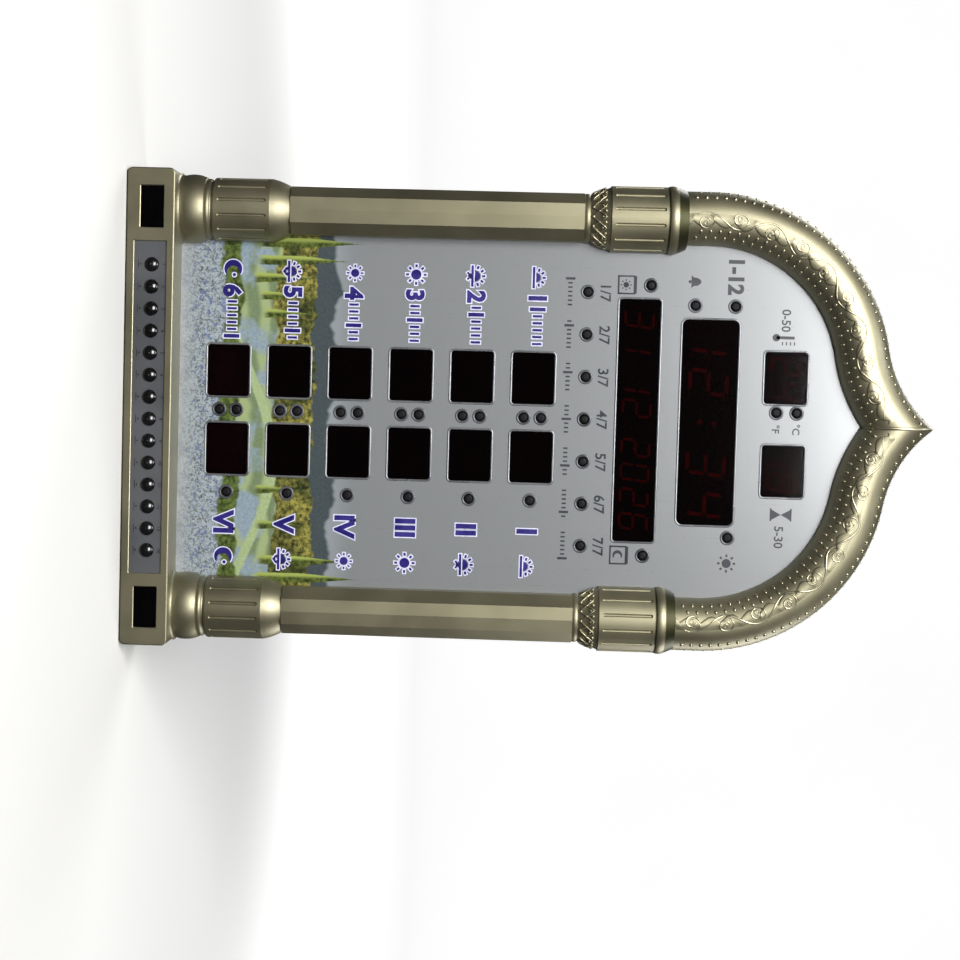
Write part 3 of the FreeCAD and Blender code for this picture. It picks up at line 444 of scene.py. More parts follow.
class Print(Solid):
    """Flat marks in the plane of the face, each a thin slab from y0 to y1."""

    def __init__(self, y0, y1, grow=0.0):
        super().__init__()
        self.y0 = y0
        self.y1 = y1
        self.grow = grow

    def slab(self, outline):
        """A slab on a convex outline of (x, z) that runs anticlockwise."""
        count = len(outline)
        verts = [(x, self.y0, z) for x, z in outline] + [(x, self.y1, z) for x, z in outline]
        faces = [tuple(range(count)), tuple(range(2 * count - 1, count - 1, -1))]
        for i in range(count):
            j = (i + 1) % count
            faces.append((j, i, i + count, j + count))
        self.add(verts, faces)

    def bar(self, x0, z0, x1, z1, width):
        """A straight stroke with cut ends."""
        along = Vector((x1 - x0, z1 - z0)).normalized()
        side = Vector((-along.y, along.x)) * (width / 2 + self.grow)
        first = Vector((x0, z0)) - along * self.grow
        last = Vector((x1, z1)) + along * self.grow
        self.slab([first - side, last - side, last + side, first + side])

    def disc(self, x, z, radius, sides=28):
        radius += self.grow
        turns = [2 * math.pi * i / sides for i in range(sides)]
        self.slab([(x + radius * math.cos(t), z + radius * math.sin(t)) for t in turns])

    def crescent(self, x, z, radius, sides=14):
        """A moon, open to the right, as a row of slabs between its two arcs."""
        radius += self.grow
        outer, inner = [], []
        for i in range(sides + 1):
            turn = math.radians(50) + math.radians(260) * i / sides
            outer.append((x + radius * math.cos(turn), z + radius * math.sin(turn)))
        high, low = outer[0], outer[-1]
        for i in range(sides + 1):
            share = i / sides
            turn = math.radians(66) + math.radians(228) * share
            reach = 0.70 * radius
            inner.append((x + 0.36 * radius + reach * math.cos(turn), z + reach * math.sin(turn)))
        inner[0], inner[-1] = high, low
        for i in range(sides):
            quad = [outer[i], outer[i + 1], inner[i + 1], inner[i]]
            if i == 0:
                quad = [outer[0], outer[1], inner[1]]
            elif i == sides - 1:
                quad = [outer[-2], outer[-1], inner[-2]]
            self.slab(quad)

    def text(self, words, x, z, height, bold=0.0):
        """Plain figures, centred on z."""
        curve = bpy.data.curves.new("figures", "FONT")
        curve.body = words
        curve.size = height / CAPITAL_HEIGHT
        curve.align_x = "CENTER"
        curve.offset = bold + self.grow
        curve.extrude = (self.y1 - self.y0) / 2
        curve.resolution_u = 3
        holder = bpy.data.objects.new("figures", curve)
        mesh = bpy.data.meshes.new_from_object(holder)
        middle = (self.y0 + self.y1) / 2
        verts = [(x + v.co.x, middle - v.co.z, z - height / 2 + v.co.y) for v in mesh.vertices]
        self.add(verts, [tuple(face.vertices) for face in mesh.polygons])
        bpy.data.objects.remove(holder)
        bpy.data.curves.remove(curve)
        bpy.data.meshes.remove(mesh)


# The arch: points on its half-round front


def arch_place(s, n):
    """The point s along the centreline and n outside it, with the way on and the way out."""
    if s <= ARCH_STILT:
        return Vector((ARCH_X + n, SPRING_Z + s)), Vector((0, 1)), Vector((1, 0))
    turn = (s - ARCH_STILT) / ARCH_RADIUS
    if turn <= ARCH_TURN:
        out = Vector((math.cos(turn), math.sin(turn)))
        return Vector(ARCH_CENTRE) + out * (ARCH_RADIUS + n), Vector((-out.y, out.x)), out
    turn = ARCH_TURN - (s - ARCH_STILT - ARCH_RADIUS * ARCH_TURN) / POINT_RADIUS
    out = Vector((math.cos(turn), math.sin(turn)))
    return Vector(POINT_CENTRE) - out * (POINT_RADIUS - n), Vector((-out.y, out.x)), out


def on_arch(s, n, lift=0.0):
    """A point on the arch's front: its place, the way along, the way across, the normal."""
    place, along, out = arch_place(s, n)
    drop = math.sqrt(TUBE_RADIUS ** 2 - n ** 2) / TUBE_RADIUS
    lean = n / TUBE_RADIUS
    normal = Vector((out.x * lean, -drop, out.y * lean))
    across = Vector((out.x * drop, lean, out.y * drop))
    point = Vector((place.x, TUBE_Y - TUBE_RADIUS * drop, place.y)) + normal * lift
    return point, Vector((along.x, 0, along.y)), across, normal


BEAD_PITCH = 4.7
# Rows as (n, first s, radius, height)
OUTER_BEADS = ((9.6, 4.0, 0.98, 0.75), (12.7, 6.3, 0.85, 0.4))
# Rows as (n, first s)
INNER_STUDS = ((-10.4, 4.0), (-7.4, 6.3))
STUD_SIZE = (0.72, 1.3, 0.75)
VINE_WAVE = 34.0
VINE_MIDDLE = -1.6
VINE_SWING = 3.9
VINE_START = 4.0
LEAF_PITCH = 10.4
LEAF_TOP = 1.6
LEAF_HEIGHT = 0.5
LEAF_RIM = 0.05
# Shares of the way from the leaves' top to their inner edge
LEAF_ROWS = (0.0, 0.12, 0.24, 0.36, 0.48, 0.6, 0.75, 0.88, 0.94, 0.97, 1.0)
SEAM_START = -12.4
SEAM_SPAN = 23.2
SEAM_STEPS = 36
SEAM_LIFT = 0.35
POINT_TURN = ARCH_TURN - math.acos(POINT_CENTRE[0] / POINT_RADIUS)
ARCH_LENGTH = ARCH_STILT + ARCH_RADIUS * ARCH_TURN + POINT_RADIUS * POINT_TURN


def arch_row(n, start, margin):
    """Places along the arch at one n, a bead's pitch apart, up to the margin at the middle."""
    places = []
    step = 0.1
    s, run, last = start, 0.0, None
    while s < ARCH_LENGTH + 2 * TUBE_RADIUS:
        point = on_arch(s, n)[0]
        if point.x < margin:
            break
        if last is None or run >= BEAD_PITCH:
            places.append(s)
            run = 0.0 if last is None else run - BEAD_PITCH
        if last is not None:
            run += (point - last).length
        last = point
        s += step
    return places


def leaf_edge(s):
    """The inner edge, as n, of the row of leaves along the arch."""
    share = (s - 2.0) / LEAF_PITCH % 1
    return -2.3 - 3.3 * math.sin(math.pi * share ** 1.3) ** 0.7


def leaf_lift(s, n):
    """How far the leaves stand off the arch at a point."""
    t = (LEAF_TOP - n) / (LEAF_TOP - leaf_edge(s))
    if t <= 0 or t >= 1:
        return 0.0
    slope = min(1.0, t / 0.62)
    return LEAF_HEIGHT * slope * slope * (3 - 2 * slope) * min(1.0, (1 - t) / 0.07)


def arch_path(points):
    """Points and normals on the arch, or on its leaves, from (s, n) pairs."""
    made = [on_arch(s, n, leaf_lift(s, n)) for s, n in points]
    return [m[0] for m in made], [m[3] for m in made]


def add_arch_ornament(gold, trim):
    beads = Solid()
    for n, first, radius, height in OUTER_BEADS:
        for s in arch_row(n, first, margin=2.5):
            point, along, across, normal = on_arch(s, n)
            beads.bead(point, along, across, normal, (radius, radius, height))
    beads.mirrored().make("arch_outer_beads", trim, "gold_plastic")

    studs = Solid()
    for n, first in INNER_STUDS:
        for s in arch_row(n, first, margin=1.4):
            point, along, across, normal = on_arch(s, n)
            studs.bead(point, along, across, normal, STUD_SIZE)
    studs.mirrored().make("arch_inner_studs", trim, "gold_plastic")

    vine = Solid()
    reach = ARCH_LENGTH - 11.0
    count = int(reach / 0.9)
    stem = []
    for i in range(count + 1):
        s = VINE_START + reach * i / count
        stem.append((s, VINE_MIDDLE + VINE_SWING * math.sin(2 * math.pi * s / VINE_WAVE)))
    vine.tube(*arch_path(stem), 0.5, 0.24)
    s, side = VINE_WAVE / 4, 1
    while s < reach - 8:
        core = VINE_MIDDLE - 0.9 * side
        curl = []
        for i in range(36):
            turn = math.pi * (-0.35 + 2.35 * i / 35)
            radius = 3.7 - 2.1 * i / 35
            curl.append((s + 1.2 * radius * math.cos(turn), core - side * radius * math.sin(turn)))
        vine.tube(*arch_path(curl), 0.42, 0.22)
        turns = [2 * math.pi * i / 18 for i in range(18)]
        rosette = [(s + 0.95 * math.cos(t), core - 0.4 * side + 0.95 * math.sin(t)) for t in turns]
        vine.loop(*arch_path(rosette), 0.32, 0.26)
        s += VINE_WAVE / 2
        side = -side
    vine.mirrored().make("arch_scroll", trim, "gold_plastic")

    leaves = Solid()
    verts, faces = [], []
    s = 0.2
    while on_arch(s, -5.9)[0].x > 0.4:
        for t in LEAF_ROWS:
            n = LEAF_TOP + (leaf_edge(s) - LEAF_TOP) * t
            rim = LEAF_RIM if t in (0.0, 1.0) else 0.0
            verts.append(on_arch(s, n, leaf_lift(s, n) - rim)[0])
        s += 0.4
    rows = len(LEAF_ROWS)
    for column in range(len(verts) // rows - 1):
        for row in range(rows - 1):
            low = column * rows + row
            faces.append((low, low + 1, low + rows + 1, low + rows))
    leaves.add(verts, faces)
    leaves.mirrored().make("arch_leaves", gold, "gold_plastic")

    seam = Solid()
    path, normals = [], []
    for i in range(SEAM_STEPS + 1):
        n = SEAM_START + SEAM_SPAN * i / SEAM_STEPS
        turn = math.acos(POINT_CENTRE[0] / (POINT_RADIUS - n))
        z = POINT_CENTRE[1] - (POINT_RADIUS - n) * math.sin(turn)
        drop = math.sqrt(TUBE_RADIUS ** 2 - n ** 2)
        normal = Vector((0, -drop, 0.75 * n)).normalized()
        path.append(Vector((0, TUBE_Y - drop, z)) + SEAM_LIFT * normal)
        normals.append(normal)
    seam.tube(path, normals, 0.75, 0.5, sides=10)
    seam.make("arch_mitre_seam", trim, "gold_plastic")


def cone_point(turn, share, lift=0.0):
    """A point on the right column's knurled cone, by angle from the front and height share."""
    radius = KNURL_FOOT_RADIUS + KNURL_FLARE * share + KNURL_SWELL * share * (1 - share) + lift
    return (COLUMN_X + radius * math.sin(turn), TUBE_Y - radius * math.cos(turn),
            KNURL_Z + KNURL_RISE * share)


def add_column_ornament(gold):
    cords = Solid()
    pitch = 2 * LATTICE_HALF_TURN / LATTICE_DIAMONDS
    for i in range(LATTICE_DIAMONDS):
        left = -LATTICE_HALF_TURN + pitch * i
        for first, last in ((left, left + pitch), (left + pitch, left)):
            path, normals = [], []
            for step in range(LATTICE_STEPS + 1):
                share = step / LATTICE_STEPS
                turn = first + (last - first) * share
                path.append(cone_point(turn, LATTICE_FOOT + LATTICE_RISE * share, 0.05))
                normals.append((math.sin(turn), -math.cos(turn), CONE_TILT))
            cords.tube(path, normals, 0.38, 0.42)
        for turn, share, size in ((left, 0.12, 0.85), (left + pitch / 2, 0.70, 0.85),
                                  (left + pitch / 2, 0.41, 0.65), (left, 0.58, 0.55)):
            if abs(turn) > LATTICE_LIMIT:
                continue
            normal = Vector((math.sin(turn), -math.cos(turn), CONE_TILT)).normalized()
            along = Vector((math.cos(turn), math.sin(turn), 0))
            cords.bead(cone_point(turn, share, 0.1), along, normal.cross(along), normal,
                       (size, size, 0.6))
    cords.mirrored().make("capital_lattice", gold, "gold_plastic")


# Face: window rims, rings of painted shade round the lamps, figures and marks


def round_outline(x, z, width, height, corner, steps=5):
    """A rectangle with round corners, anticlockwise, as (x, z) pairs."""
    points = []
    for number, (sx, sz) in enumerate(((1, 1), (-1, 1), (-1, -1), (1, -1))):
        cx = x + sx * (width / 2 - corner)
        cz = z + sz * (height / 2 - corner)
        for i in range(steps + 1):
            turn = math.radians(90 * (number + i / steps))
            points.append((cx + corner * math.cos(turn), cz + corner * math.sin(turn)))
    return points


def add_face_trim(lip, lamp_shade_paint, gold):
    rims = Solid()
    for x, z, width, height, corner in WINDOWS:
        outline = round_outline(x, z, width + 0.9, height + 0.9, corner + 0.45)
        path = [(px, FACE_Y, pz) for px, pz in outline]
        rims.loop(path, [(0, -1, 0)] * len(path), 0.55, 0.35)
    rims.make("window_rims", lip, "silver_plastic")
    frames = Solid()
    for x, z, width, height, y in BASE_FRAMES:
        path = [(px, y, pz) for px, pz in round_outline(x, z, width, height, 0.8)]
        frames.loop(path, [(0, -1, 0)] * len(path), 0.38, 0.34)
    frames.make("base_window_frames", gold, "gold_plastic")
    # Darker grey rings round each lamp: painted shade round the lamp holes
    rings = Solid()
    for x, z in LAMPS:
        path = []
        for i in range(28):
            turn = 2 * math.pi * i / 28
            path.append((x + LAMP_SHADE_RADIUS * math.cos(turn), FACE_Y,
                         z + LAMP_SHADE_RADIUS * math.sin(turn)))
        rings.loop(path, [(0, -1, 0)] * len(path), 0.6, 0.2)
    rings.make("painted_lamp_shade_rings", lamp_shade_paint, "silver_plastic")


def sun(mark, x, z, size):
    """A disc with eight rays."""
    mark.disc(x, z, size)
    for turn in range(0, 360, 45):
        ray = Vector((math.cos(math.radians(turn)), math.sin(math.radians(turn))))
        first, last = ray * size * 1.42, ray * size * 2.0
        mark.bar(x + first.x, z + first.y, x + last.x, z + last.y, 0.42 * size)


def day_icon(mark, number, x, z):
    """A pictogram of the light at one time of day, about eleven wide."""
    if number == 5:
        mark.crescent(x - 0.6, z, 4.6)
        mark.disc(x + 2.4, z + 0.6, 0.9, 10)
        return
    if number in (2, 3):
        sun(mark, x, z, (2.6, 2.1)[number - 2])
        return
    size = (2.2, 2.7, 0, 0, 2.4)[number]
    half = []
    for i in range(15):
        turn = math.pi * i / 14
        half.append((x + size * math.cos(turn), z - 1.4 + size * math.sin(turn)))
    mark.slab(half)
    for turn in (20, 55, 90, 125, 160):
        ray = Vector((math.cos(math.radians(turn)), math.sin(math.radians(turn))))
        first, last = ray * (size + 1.0), ray * (size + 2.6)
        mark.bar(x + first.x, z - 1.4 + first.y, x + last.x, z - 1.4 + last.y, 1.1)
    mark.bar(x - 5.4, z - 2.6, x + 5.4, z - 2.6, 1.2)
    if number in (1, 4):
        way = 0.7 if number == 1 else -0.7
        mark.bar(x - 1.9, z - 4.4 - way, x, z - 4.4 + way, 1.0)
        mark.bar(x, z - 4.4 + way, x + 1.9, z - 4.4 - way, 1.0)


def row_labels(mark):
    roman = ("I", "II", "III", "IV", "V", "VI")
    for number, z in enumerate(ROW_Z):
        day_icon(mark, number, LEFT_ICON_X, z + 1.4)
        mark.text(str(number + 1), LEFT_NUMBER_X, z + 1.2, 8.6, bold=0.55)
        for pip in range(6):
            x = ROW_PIPS_X + ROW_PIP_PITCH * pip
            low, high, width = (-2.8, 5.2, 1.9) if pip == number else (-1.2, 3.6, 1.2)
            mark.bar(x, z + low, x, z + high, width)
        mark.text(roman[number], RIGHT_NUMBER_X, z - 0.8, 9.6, bold=0.6)
        day_icon(mark, number, RIGHT_ICON_X, z - 0.8)


def grey_labels(mark):
    for day, x in enumerate(WEEKDAY_X):
        mark.text(f"{day + 1}/7", x, WEEKDAY_Z + 9.0, 5.2, bold=0.12)
        for pip in range(7):
            rise, width = (2.4, 1.2) if pip == day else (1.1, 0.8)
            spot, middle = x - 6.6 + WEEKDAY_PIP_PITCH * pip, WEEKDAY_Z - 9.0
            mark.bar(spot, middle - rise, spot, middle + rise, width)
    for (x, z), lunar in zip(CALENDAR_LAMPS, (False, True)):
        reach, top, foot = CALENDAR_BOX
        mark.bar(x - reach, z - top, x + reach, z - top, 1.6)
        mark.bar(x - reach, z - top, x - reach, z - foot, 0.8)
        mark.bar(x + reach, z - top, x + reach, z - foot, 0.8)
        mark.bar(x - reach - 0.4, z - foot, x + reach + 0.4, z - foot, 0.8)
        if lunar:
            mark.crescent(x, z - 12.6, 2.5)
        else:
            sun(mark, x, z - 12.6, 1.4)
    (x, z), (alarm_x, alarm_z), (summer_x, summer_z) = MODE_LAMPS
    mark.text("1-12", x - 15.5, z, 7.4, bold=0.45)
    bell = [(-1.0, 2.2), (-1.9, 0.8), (-2.2, -1.2), (-3.2, -2.4), (3.2, -2.4), (2.2, -1.2),
            (1.9, 0.8), (1.0, 2.2), (0.0, 2.7)]
    mark.slab([(alarm_x - 12 + px, alarm_z + pz) for px, pz in bell])
    mark.disc(alarm_x - 12, alarm_z - 3.1, 0.8, 12)
    sun(mark, summer_x + 13.0, summer_z, 2.3)
    for (x, z), words in zip(DEGREE_LAMPS, ("°C", "°F")):
        mark.text(words, x + 8.2, z, 3.6, bold=0.1)
    x, z = THERMOMETER
    mark.disc(x, z, 1.9, 16)
    mark.bar(x, z, x, z + 9.2, 1.5)
    for tick in range(4):
        high = z + 3.2 + 2.0 * tick
        mark.bar(x + 2.1, high, x + 3.8, high, 0.6)
    mark.text("0-50", x - 8.6, z + 4.8, 4.4, bold=0.1)
    x, z = HOURGLASS
    mark.slab([(x - 2.6, z + 4.7), (x, z), (x + 2.6, z + 4.7)])
    mark.slab([(x - 2.6, z - 4.7), (x + 2.6, z - 4.7), (x, z)])
    mark.bar(x - 3.2, z + 5.1, x + 3.2, z + 5.1, 0.8)
    mark.bar(x - 3.2, z - 5.1, x + 3.2, z - 5.1, 0.8)
    mark.text("5-30", x + 11.4, z - 0.7, 4.4, bold=0.1)


def strip_marks(mark):
    for number in range(14):
        x = (number - 6.5) * BUTTON_PITCH
        mark.text(str(number + 1), x, STRIP_NUMBER_Z, 1.7, bold=0.04)
        mark.bar(x - 2.0, STRIP_BAR_Z, x + 2.0, STRIP_BAR_Z, 0.3)
        mark.disc(x, STRIP_DOT_Z, 0.45, 10)


SEGMENTS = {"0": "abcdef", "1": "bc", "2": "abged", "3": "abgcd", "4": "fgbc", "5": "afgcd",
            "6": "afgedc", "7": "abc", "8": "abcdefg", "9": "abcdfg"}


def digit(mark, figure, x, z, width, height, stroke):
    """One slanted seven-bar figure."""
    w, h, gap = width / 2, height / 2, 0.25 * stroke
    ends = {"a": (-w, h, w, h), "b": (w, h, w, 0), "c": (w, 0, w, -h), "d": (-w, -h, w, -h),
            "e": (-w, 0, -w, -h), "f": (-w, h, -w, 0), "g": (-w, 0, w, 0)}
    for letter in SEGMENTS[figure]:
        x0, z0, x1, z1 = ends[letter]
        first = Vector((x + x0 + DIGIT_LEAN * z0, z + z0))
        last = Vector((x + x1 + DIGIT_LEAN * z1, z + z1))
        along = (last - first).normalized()
        side = Vector((-along.y, along.x)) * stroke / 2
        first += along * (gap + stroke * 0.1)
        last -= along * (gap + stroke * 0.1)
        cut = along * stroke / 2
        mark.slab([first, first + cut - side, last - cut - side, last, last - cut + side,
                   first + cut + side])


LIT_FIGURES = [
    # figures, their places, and (width, height, stroke)
    ("1234", [(x, TIME_Z) for x in (-41.5, -20.5, 20.5, 41.5)], (11.0, 18.6, 1.9)),
    ("31122026", [(-51.6 + 12.6 * i + 7.5 * ((i > 1) + (i > 3)), 257.9) for i in range(8)],
     (7.6, 14.0, 1.3)),
    ("24", [(x, 332.3) for x in (-29.4, -17.2)], (7.6, 14.0, 1.3)),
    ("18", [(x, 332.3) for x in (17.2, 29.4)], (7.6, 14.0, 1.3)),
]

# Materials

# Heights of the dark rings at the top of a column, under the arch: painted shade in the recesses
# there
PAINTED_SHADE_BANDS = ((269.4, 270.4), (274.6, 280.5))
gold_look = dict(metallic=0.94, bump=0.05, rough=(0.45, 0.53), coat_weight=0.4,
                 coat_roughness=0.3)
gold = grained("satin_gold", rgb(148, 143, 118), rgb(159, 154, 128), **gold_look)
gold_column = grained("satin_gold_column", rgb(148, 143, 118), rgb(159, 154, 128),
                      painted_shade_bands=PAINTED_SHADE_BANDS, **gold_look)
gold_trim = grained("satin_gold_trim", rgb(178, 172, 146), rgb(190, 184, 158), metallic=0.94,
                    bump=0.03, rough=(0.33, 0.4))
silver_lip = grained("silver_lip", rgb(120, 122, 128), rgb(146, 148, 152), metallic=0.6,
                     rough=(0.2, 0.34))
# Darker grey for the rings round the lamps: painted shade
lamp_shade_paint = grained("painted_lamp_shade", rgb(70, 72, 78), rgb(96, 98, 104), metallic=0.3, rough=(0.25, 0.4))
strip = grained("strip_grey", rgb(74, 76, 80), rgb(84, 86, 90), grain=3200, rough=(0.42, 0.55),
                metallic=0.2, bump=0.2)
black_gloss = grained("black_gloss", rgb(10, 10, 11), rgb(17, 17, 19), rough=(0.2, 0.28),
                      bump=0.01, coat_weight=1.0, coat_roughness=0.15)
lamp_black = grained("lamp_lens_dark", rgb(12, 11, 14), rgb(20, 18, 22), rough=(0.5, 0.62),
                     bump=0.01, specular_ior_level=0.2)
cover = grained("cover_black", rgb(44, 44, 46), rgb(50, 50, 52), grain=700, wear=160, bump=1.0,
                rough=(0.42, 0.56))
display = grained("display_black", rgb(14, 13, 14), rgb(24, 22, 23), rough=(0.35, 0.5))
board = grained("board_green", rgb(20, 66, 40), rgb(30, 84, 52), grain=900, rough=(0.3, 0.4))
chip = grained("chip_black", rgb(24, 24, 26), rgb(34, 34, 36), rough=(0.5, 0.65), bump=0.3)
can = grained("metal_can", rgb(176, 178, 180), rgb(196, 198, 198), metallic=0.95,
              rough=(0.2, 0.34))
sleeve = grained("capacitor_sleeve", rgb(22, 26, 44), rgb(30, 34, 56), rough=(0.25, 0.36))
basket = grained("speaker_steel", rgb(96, 98, 100), rgb(122, 124, 126), metallic=0.9,
                 rough=(0.28, 0.42))
cone = grained("paper_cone", rgb(30, 28, 27), rgb(46, 43, 40), grain=900, wear=90, bump=0.9,
               rough=(0.8, 0.95))
cable_grey = grained("cable_grey", rgb(140, 142, 146), rgb(158, 160, 162), rough=(0.45, 0.6))
cable_red = grained("cable_red", rgb(146, 24, 22), rgb(168, 34, 28), rough=(0.35, 0.5))
screw = grained("screw_steel", rgb(150, 150, 150), rgb(182, 182, 180), metallic=0.95, wear=300,
                rough=(0.25, 0.45))
ink_blue = grained("ink_blue", rgb(24, 16, 92), rgb(38, 28, 118), rough=(0.3, 0.45), wear=160)
ink_pale = grained("ink_pale", rgb(196, 196, 226), rgb(216, 216, 238), rough=(0.3, 0.45), wear=160)
ink_grey = grained("ink_grey", rgb(30, 32, 42), rgb(46, 48, 60), rough=(0.3, 0.45), wear=160)
ink_black = grained("ink_black", rgb(22, 22, 24), rgb(34, 34, 36), rough=(0.3, 0.45), wear=160)
digit_red = grained("digit_red", rgb(120, 16, 18), rgb(140, 22, 22), rough=(0.4, 0.5), wear=200)
digit_red.set("emission_color", (0.9, 0.03, 0.02))
digit_red.set("emission_strength", 0.32)


def dark_filter():
    paint = Paint("dark_filter", transmission_weight=0.985, ior=1.46)
    clouds = paint.step(paint.noise(40, 3.0), 0.3, 0.7)
    paint.set("base_color", paint.mix(clouds, rgb(60, 16, 22), rgb(70, 20, 28)))
    paint.set("roughness", paint.step(paint.noise(900, 2.0), 0.3, 0.7, 0.05, 0.10))
    return paint


def end_glass():
    paint = Paint("end_window_glass", transmission_weight=0.9, ior=1.5)
    clouds = paint.step(paint.noise(60, 3.0), 0.3, 0.7)
    paint.set("base_color", paint.mix(clouds, rgb(12, 10, 14), rgb(20, 17, 22)))
    paint.set("roughness", paint.step(paint.noise(900, 2.0), 0.3, 0.7, 0.04, 0.09))
    return paint


def face_print():
    """Silver paint, and across the foot a plain landscape of hills, woods and meadows."""
    paint = Paint("face_print", metallic=0.35, coat_weight=0.35, coat_roughness=0.12)
    split = paint.node("ShaderNodeSeparateXYZ", [(0, paint.place)])
    x = paint.sum("MULTIPLY", split.outputs["X"], 1000.0)
    z = paint.sum("MULTIPLY", split.outputs["Z"], 1000.0)

    def line(scale, seed, detail=3.0):
        """An uneven height along x, -1 to 1."""
        spot = paint.node("ShaderNodeCombineXYZ", [("X", x), ("Y", seed), ("Z", 0.0)])
        rough = paint.noise(1 / scale, detail, spot.outputs[0], 0.6)
        return paint.sum("MULTIPLY_ADD", rough, 4.0, -2.0)

    def below(height, scale, swing, seed, soft=0.8, detail=3.0):
        """1 under an uneven skyline and 0 above it."""
        edge = paint.sum("MULTIPLY_ADD", line(scale, seed, detail), swing, height)
        gap = paint.sum("SUBTRACT", edge, z)
        return paint.step(gap, -soft, soft)

    hills, wood, field, bank, shore = 103.0, 93.0, 73.0, 55.0, 46.0
    flakes = paint.noise(2600, 1.0)
    colour = paint.mix(flakes, rgb(138, 141, 144), rgb(143, 146, 149))
    haze = paint.step(z, 120.0, 98.0)
    colour = paint.mix(paint.sum("MULTIPLY", haze, 0.7), colour, rgb(134, 144, 150))
    woods = paint.noise(700, 6.0, roughness=0.7)
    slate = paint.mix(woods, rgb(28, 38, 44), rgb(84, 94, 98))
    colour = paint.mix(below(hills, 26.0, 6.0, 3.1, 1.2), colour, slate)
    clumps = paint.step(paint.noise(420, 7.0, roughness=0.75), 0.36, 0.66)
    lit = paint.mix(clumps, rgb(34, 38, 12), rgb(158, 152, 74))
    shade = paint.step(paint.noise(70, 3.0), 0.4, 0.62)
    lit = paint.mix(shade, lit, paint.mix(clumps, rgb(22, 28, 12), rgb(86, 92, 44)))
    colour = paint.mix(below(wood, 14.0, 4.0, 8.7, 0.6, 6.0), colour, lit)
    far = paint.sum("DIVIDE", 900.0, paint.sum("SUBTRACT", 112.0, z))
    rows = paint.sum("ADD", far, paint.sum("MULTIPLY", line(60.0, 5.5), 3.0))
    stripes = paint.step(paint.sum("SINE", paint.sum("MULTIPLY", rows, 1.3)), -0.8, 0.8)
    meadow = paint.mix(stripes, rgb(72, 92, 44), rgb(142, 156, 96))
    meadow = paint.mix(paint.sum("MULTIPLY", woods, 0.6), meadow, rgb(160, 176, 150))
    blue = paint.mix(woods, rgb(70, 92, 118), rgb(168, 184, 190))
    meadow = paint.mix(paint.step(paint.noise(46, 4.0), 0.5, 0.6), meadow, blue)
    colour = paint.mix(below(field, 34.0, 5.0, 1.3, 0.6), colour, meadow)
    bend = paint.sum("SINE", paint.sum("MULTIPLY_ADD", x, 0.034, 0.7))
    brook = paint.sum("MULTIPLY_ADD", bend, 13.0, 60.0)
    reach = paint.sum("ABSOLUTE", paint.sum("SUBTRACT", z, brook))
    water = paint.mix(woods, rgb(104, 128, 70), rgb(188, 202, 160))
    colour = paint.mix(paint.step(reach, 2.9, 2.0), colour, water)
    grass = paint.mix(clumps, rgb(34, 46, 18), rgb(104, 122, 58))
    colour = paint.mix(below(bank, 24.0, 4.0, 2.4, 0.8, 5.0), colour, grass)
    specks = paint.noise(900, 5.0, roughness=0.8)
    stones = paint.mix(paint.step(specks, 0.36, 0.56), rgb(52, 62, 56), rgb(162, 172, 180))
    petals = paint.step(paint.noise(520, 3.0, roughness=0.6), 0.56, 0.64)
    stones = paint.mix(petals, stones, rgb(96, 112, 150))
    colour = paint.mix(below(shore, 22.0, 5.0, 6.2, 1.0, 5.0), colour, stones)
    mist = paint.mix(paint.noise(180, 5.0), rgb(112, 120, 128), rgb(186, 192, 200))
    colour = paint.mix(paint.sum("MULTIPLY", paint.step(z, 35.0, 24.0), 0.8), colour, mist)
    column = paint.sum("FLOOR", paint.sum("DIVIDE", x, 9.0))
    spot = paint.node("ShaderNodeCombineXYZ", [("X", column), ("Y", 4.4), ("Z", 0.0)])
    chance = paint.node("ShaderNodeTexWhiteNoise", [("Vector", spot.outputs[0])])
    chance = chance.outputs["Value"]
    rim = paint.step(paint.sum("ABSOLUTE", x), 56.0, 86.0, 0.0, 26.0)
    tall = paint.sum("ADD", paint.sum("MULTIPLY_ADD", chance, 12.0, 86.0), rim)
    middle = paint.sum("MULTIPLY", paint.sum("ADD", column, 0.5), 9.0)
    stem = paint.sum("SUBTRACT", x, middle)
    slim = paint.step(paint.sum("SUBTRACT", tall, z), 0.0, 34.0)
    slim = paint.sum("MULTIPLY_ADD", slim, 2.5, paint.sum("MULTIPLY", specks, 1.2))
    side = paint.step(paint.sum("SUBTRACT", slim, paint.sum("ABSOLUTE", stem)), 0.55, 0.85)
    foot = paint.step(paint.sum("MULTIPLY_ADD", chance, -8.0, z), 58.0, 62.0)
    outside = paint.step(paint.sum("ABSOLUTE", x), 34.0, 38.0)
    trees = paint.sum("MULTIPLY", paint.sum("MULTIPLY", side, foot), outside)
    trees = paint.sum("MULTIPLY", trees, paint.step(chance, 0.25, 0.3))
    leaves = paint.mix(clumps, rgb(30, 40, 14), rgb(98, 112, 46))
    leaves = paint.mix(paint.step(stem, 0.4, -1.6), leaves, rgb(150, 164, 84))
    colour = paint.mix(trees, colour, leaves)
    paint.set("base_color", colour)
    printed = paint.step(z, 116.0, 98.0)
    paint.set("metallic", paint.sum("MULTIPLY_ADD", printed, -0.3, 0.35))
    paint.set("roughness", paint.step(flakes, 0.3, 0.7, 0.29, 0.32))
    paint.bump(flakes, 0.01, 0.0001)
    return paint


filter_glass = dark_filter()
end_window_glass = end_glass()
face_paint = face_print()

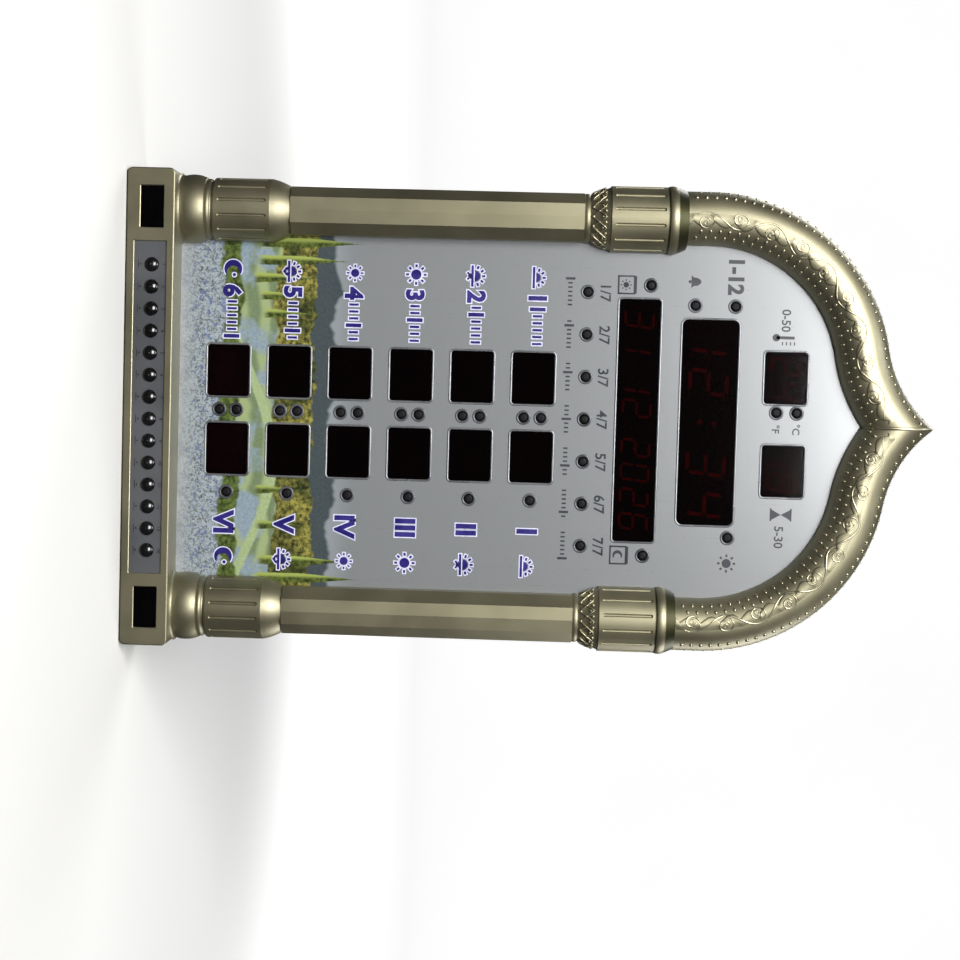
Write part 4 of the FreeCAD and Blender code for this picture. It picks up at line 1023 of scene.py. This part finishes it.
PAINTS = {
    gold: ["base_shell", "arch_left", "arch_right"],
    gold_column: ["column_left", "column_right"],
    face_paint: ["face_panel"],
    filter_glass: ["filter_time", "filter_date", "filter_temperature", "filter_iqamah",
                   "filters_prayer"],
    end_window_glass: ["end_window_left", "end_window_right"],
    display: ["display_time", "displays_date", "display_temperature", "display_iqamah",
              "displays_prayer_left", "displays_prayer_right"],
    lamp_black: ["lamps_weekday", "lamps_colon", "lamps_prayer", "lamps_info"],
    board: ["main_board", "button_board"],
    chip: ["controller_chip", "driver_chips", "sound_chips", "board_headers", "button_switches",
           "coin_cell_holder", "power_inlet", "infrared_receiver"],
    can: ["crystal", "coin_cell", "light_sensor"],
    sleeve: ["capacitors"],
    strip: ["button_strip"],
    black_gloss: [f"button_{number:02d}" for number in range(1, 15)],
    cover: ["back_cover"],
    basket: ["speaker_basket"],
    cone: ["speaker_cone"],
    cable_grey: ["ribbon_cable"],
    cable_red: ["power_lead", "speaker_lead"],
    screw: ["cover_screws", "small_screws"],
}
for paint, names in PAINTS.items():
    for name in names:
        mesh = nodes[name].data
        mesh.materials.clear()
        mesh.materials.append(paint.material)

# Pieces

add_arch_ornament(gold, gold_trim)
add_column_ornament(gold_trim)
add_face_trim(silver_lip, lamp_shade_paint, gold_trim)

outline = Print(FACE_Y - OUTLINE_RISE, FACE_Y + MARK_SINK, grow=0.55)
row_labels(outline)
outline.make("row_label_outlines", ink_pale, "silver_plastic", smooth=False)
letters = Print(FACE_Y - LABEL_RISE, FACE_Y + MARK_SINK)
row_labels(letters)
letters.make("row_labels", ink_blue, "silver_plastic", smooth=False)
small = Print(FACE_Y - SMALL_RISE, FACE_Y + MARK_SINK)
grey_labels(small)
small.make("face_labels", ink_grey, "silver_plastic", smooth=False)
marks = Print(STRIP_Y - SMALL_RISE, STRIP_Y + MARK_SINK)
strip_marks(marks)
marks.make("strip_marks", ink_black, "strip_plastic", smooth=False)

lit = Print(DISPLAY_Y - 0.06, DISPLAY_Y - 0.01)
for figures, spots, (width, height, stroke) in LIT_FIGURES:
    for figure, (x, z) in zip(figures, spots):
        digit(lit, figure, x, z, width, height, stroke)
for rise in (-3.6, 3.6):
    lit.disc(DIGIT_LEAN * rise, TIME_Z + rise, 1.3, 16)
lit.make("lit_figures", digit_red, "display_body", smooth=False)
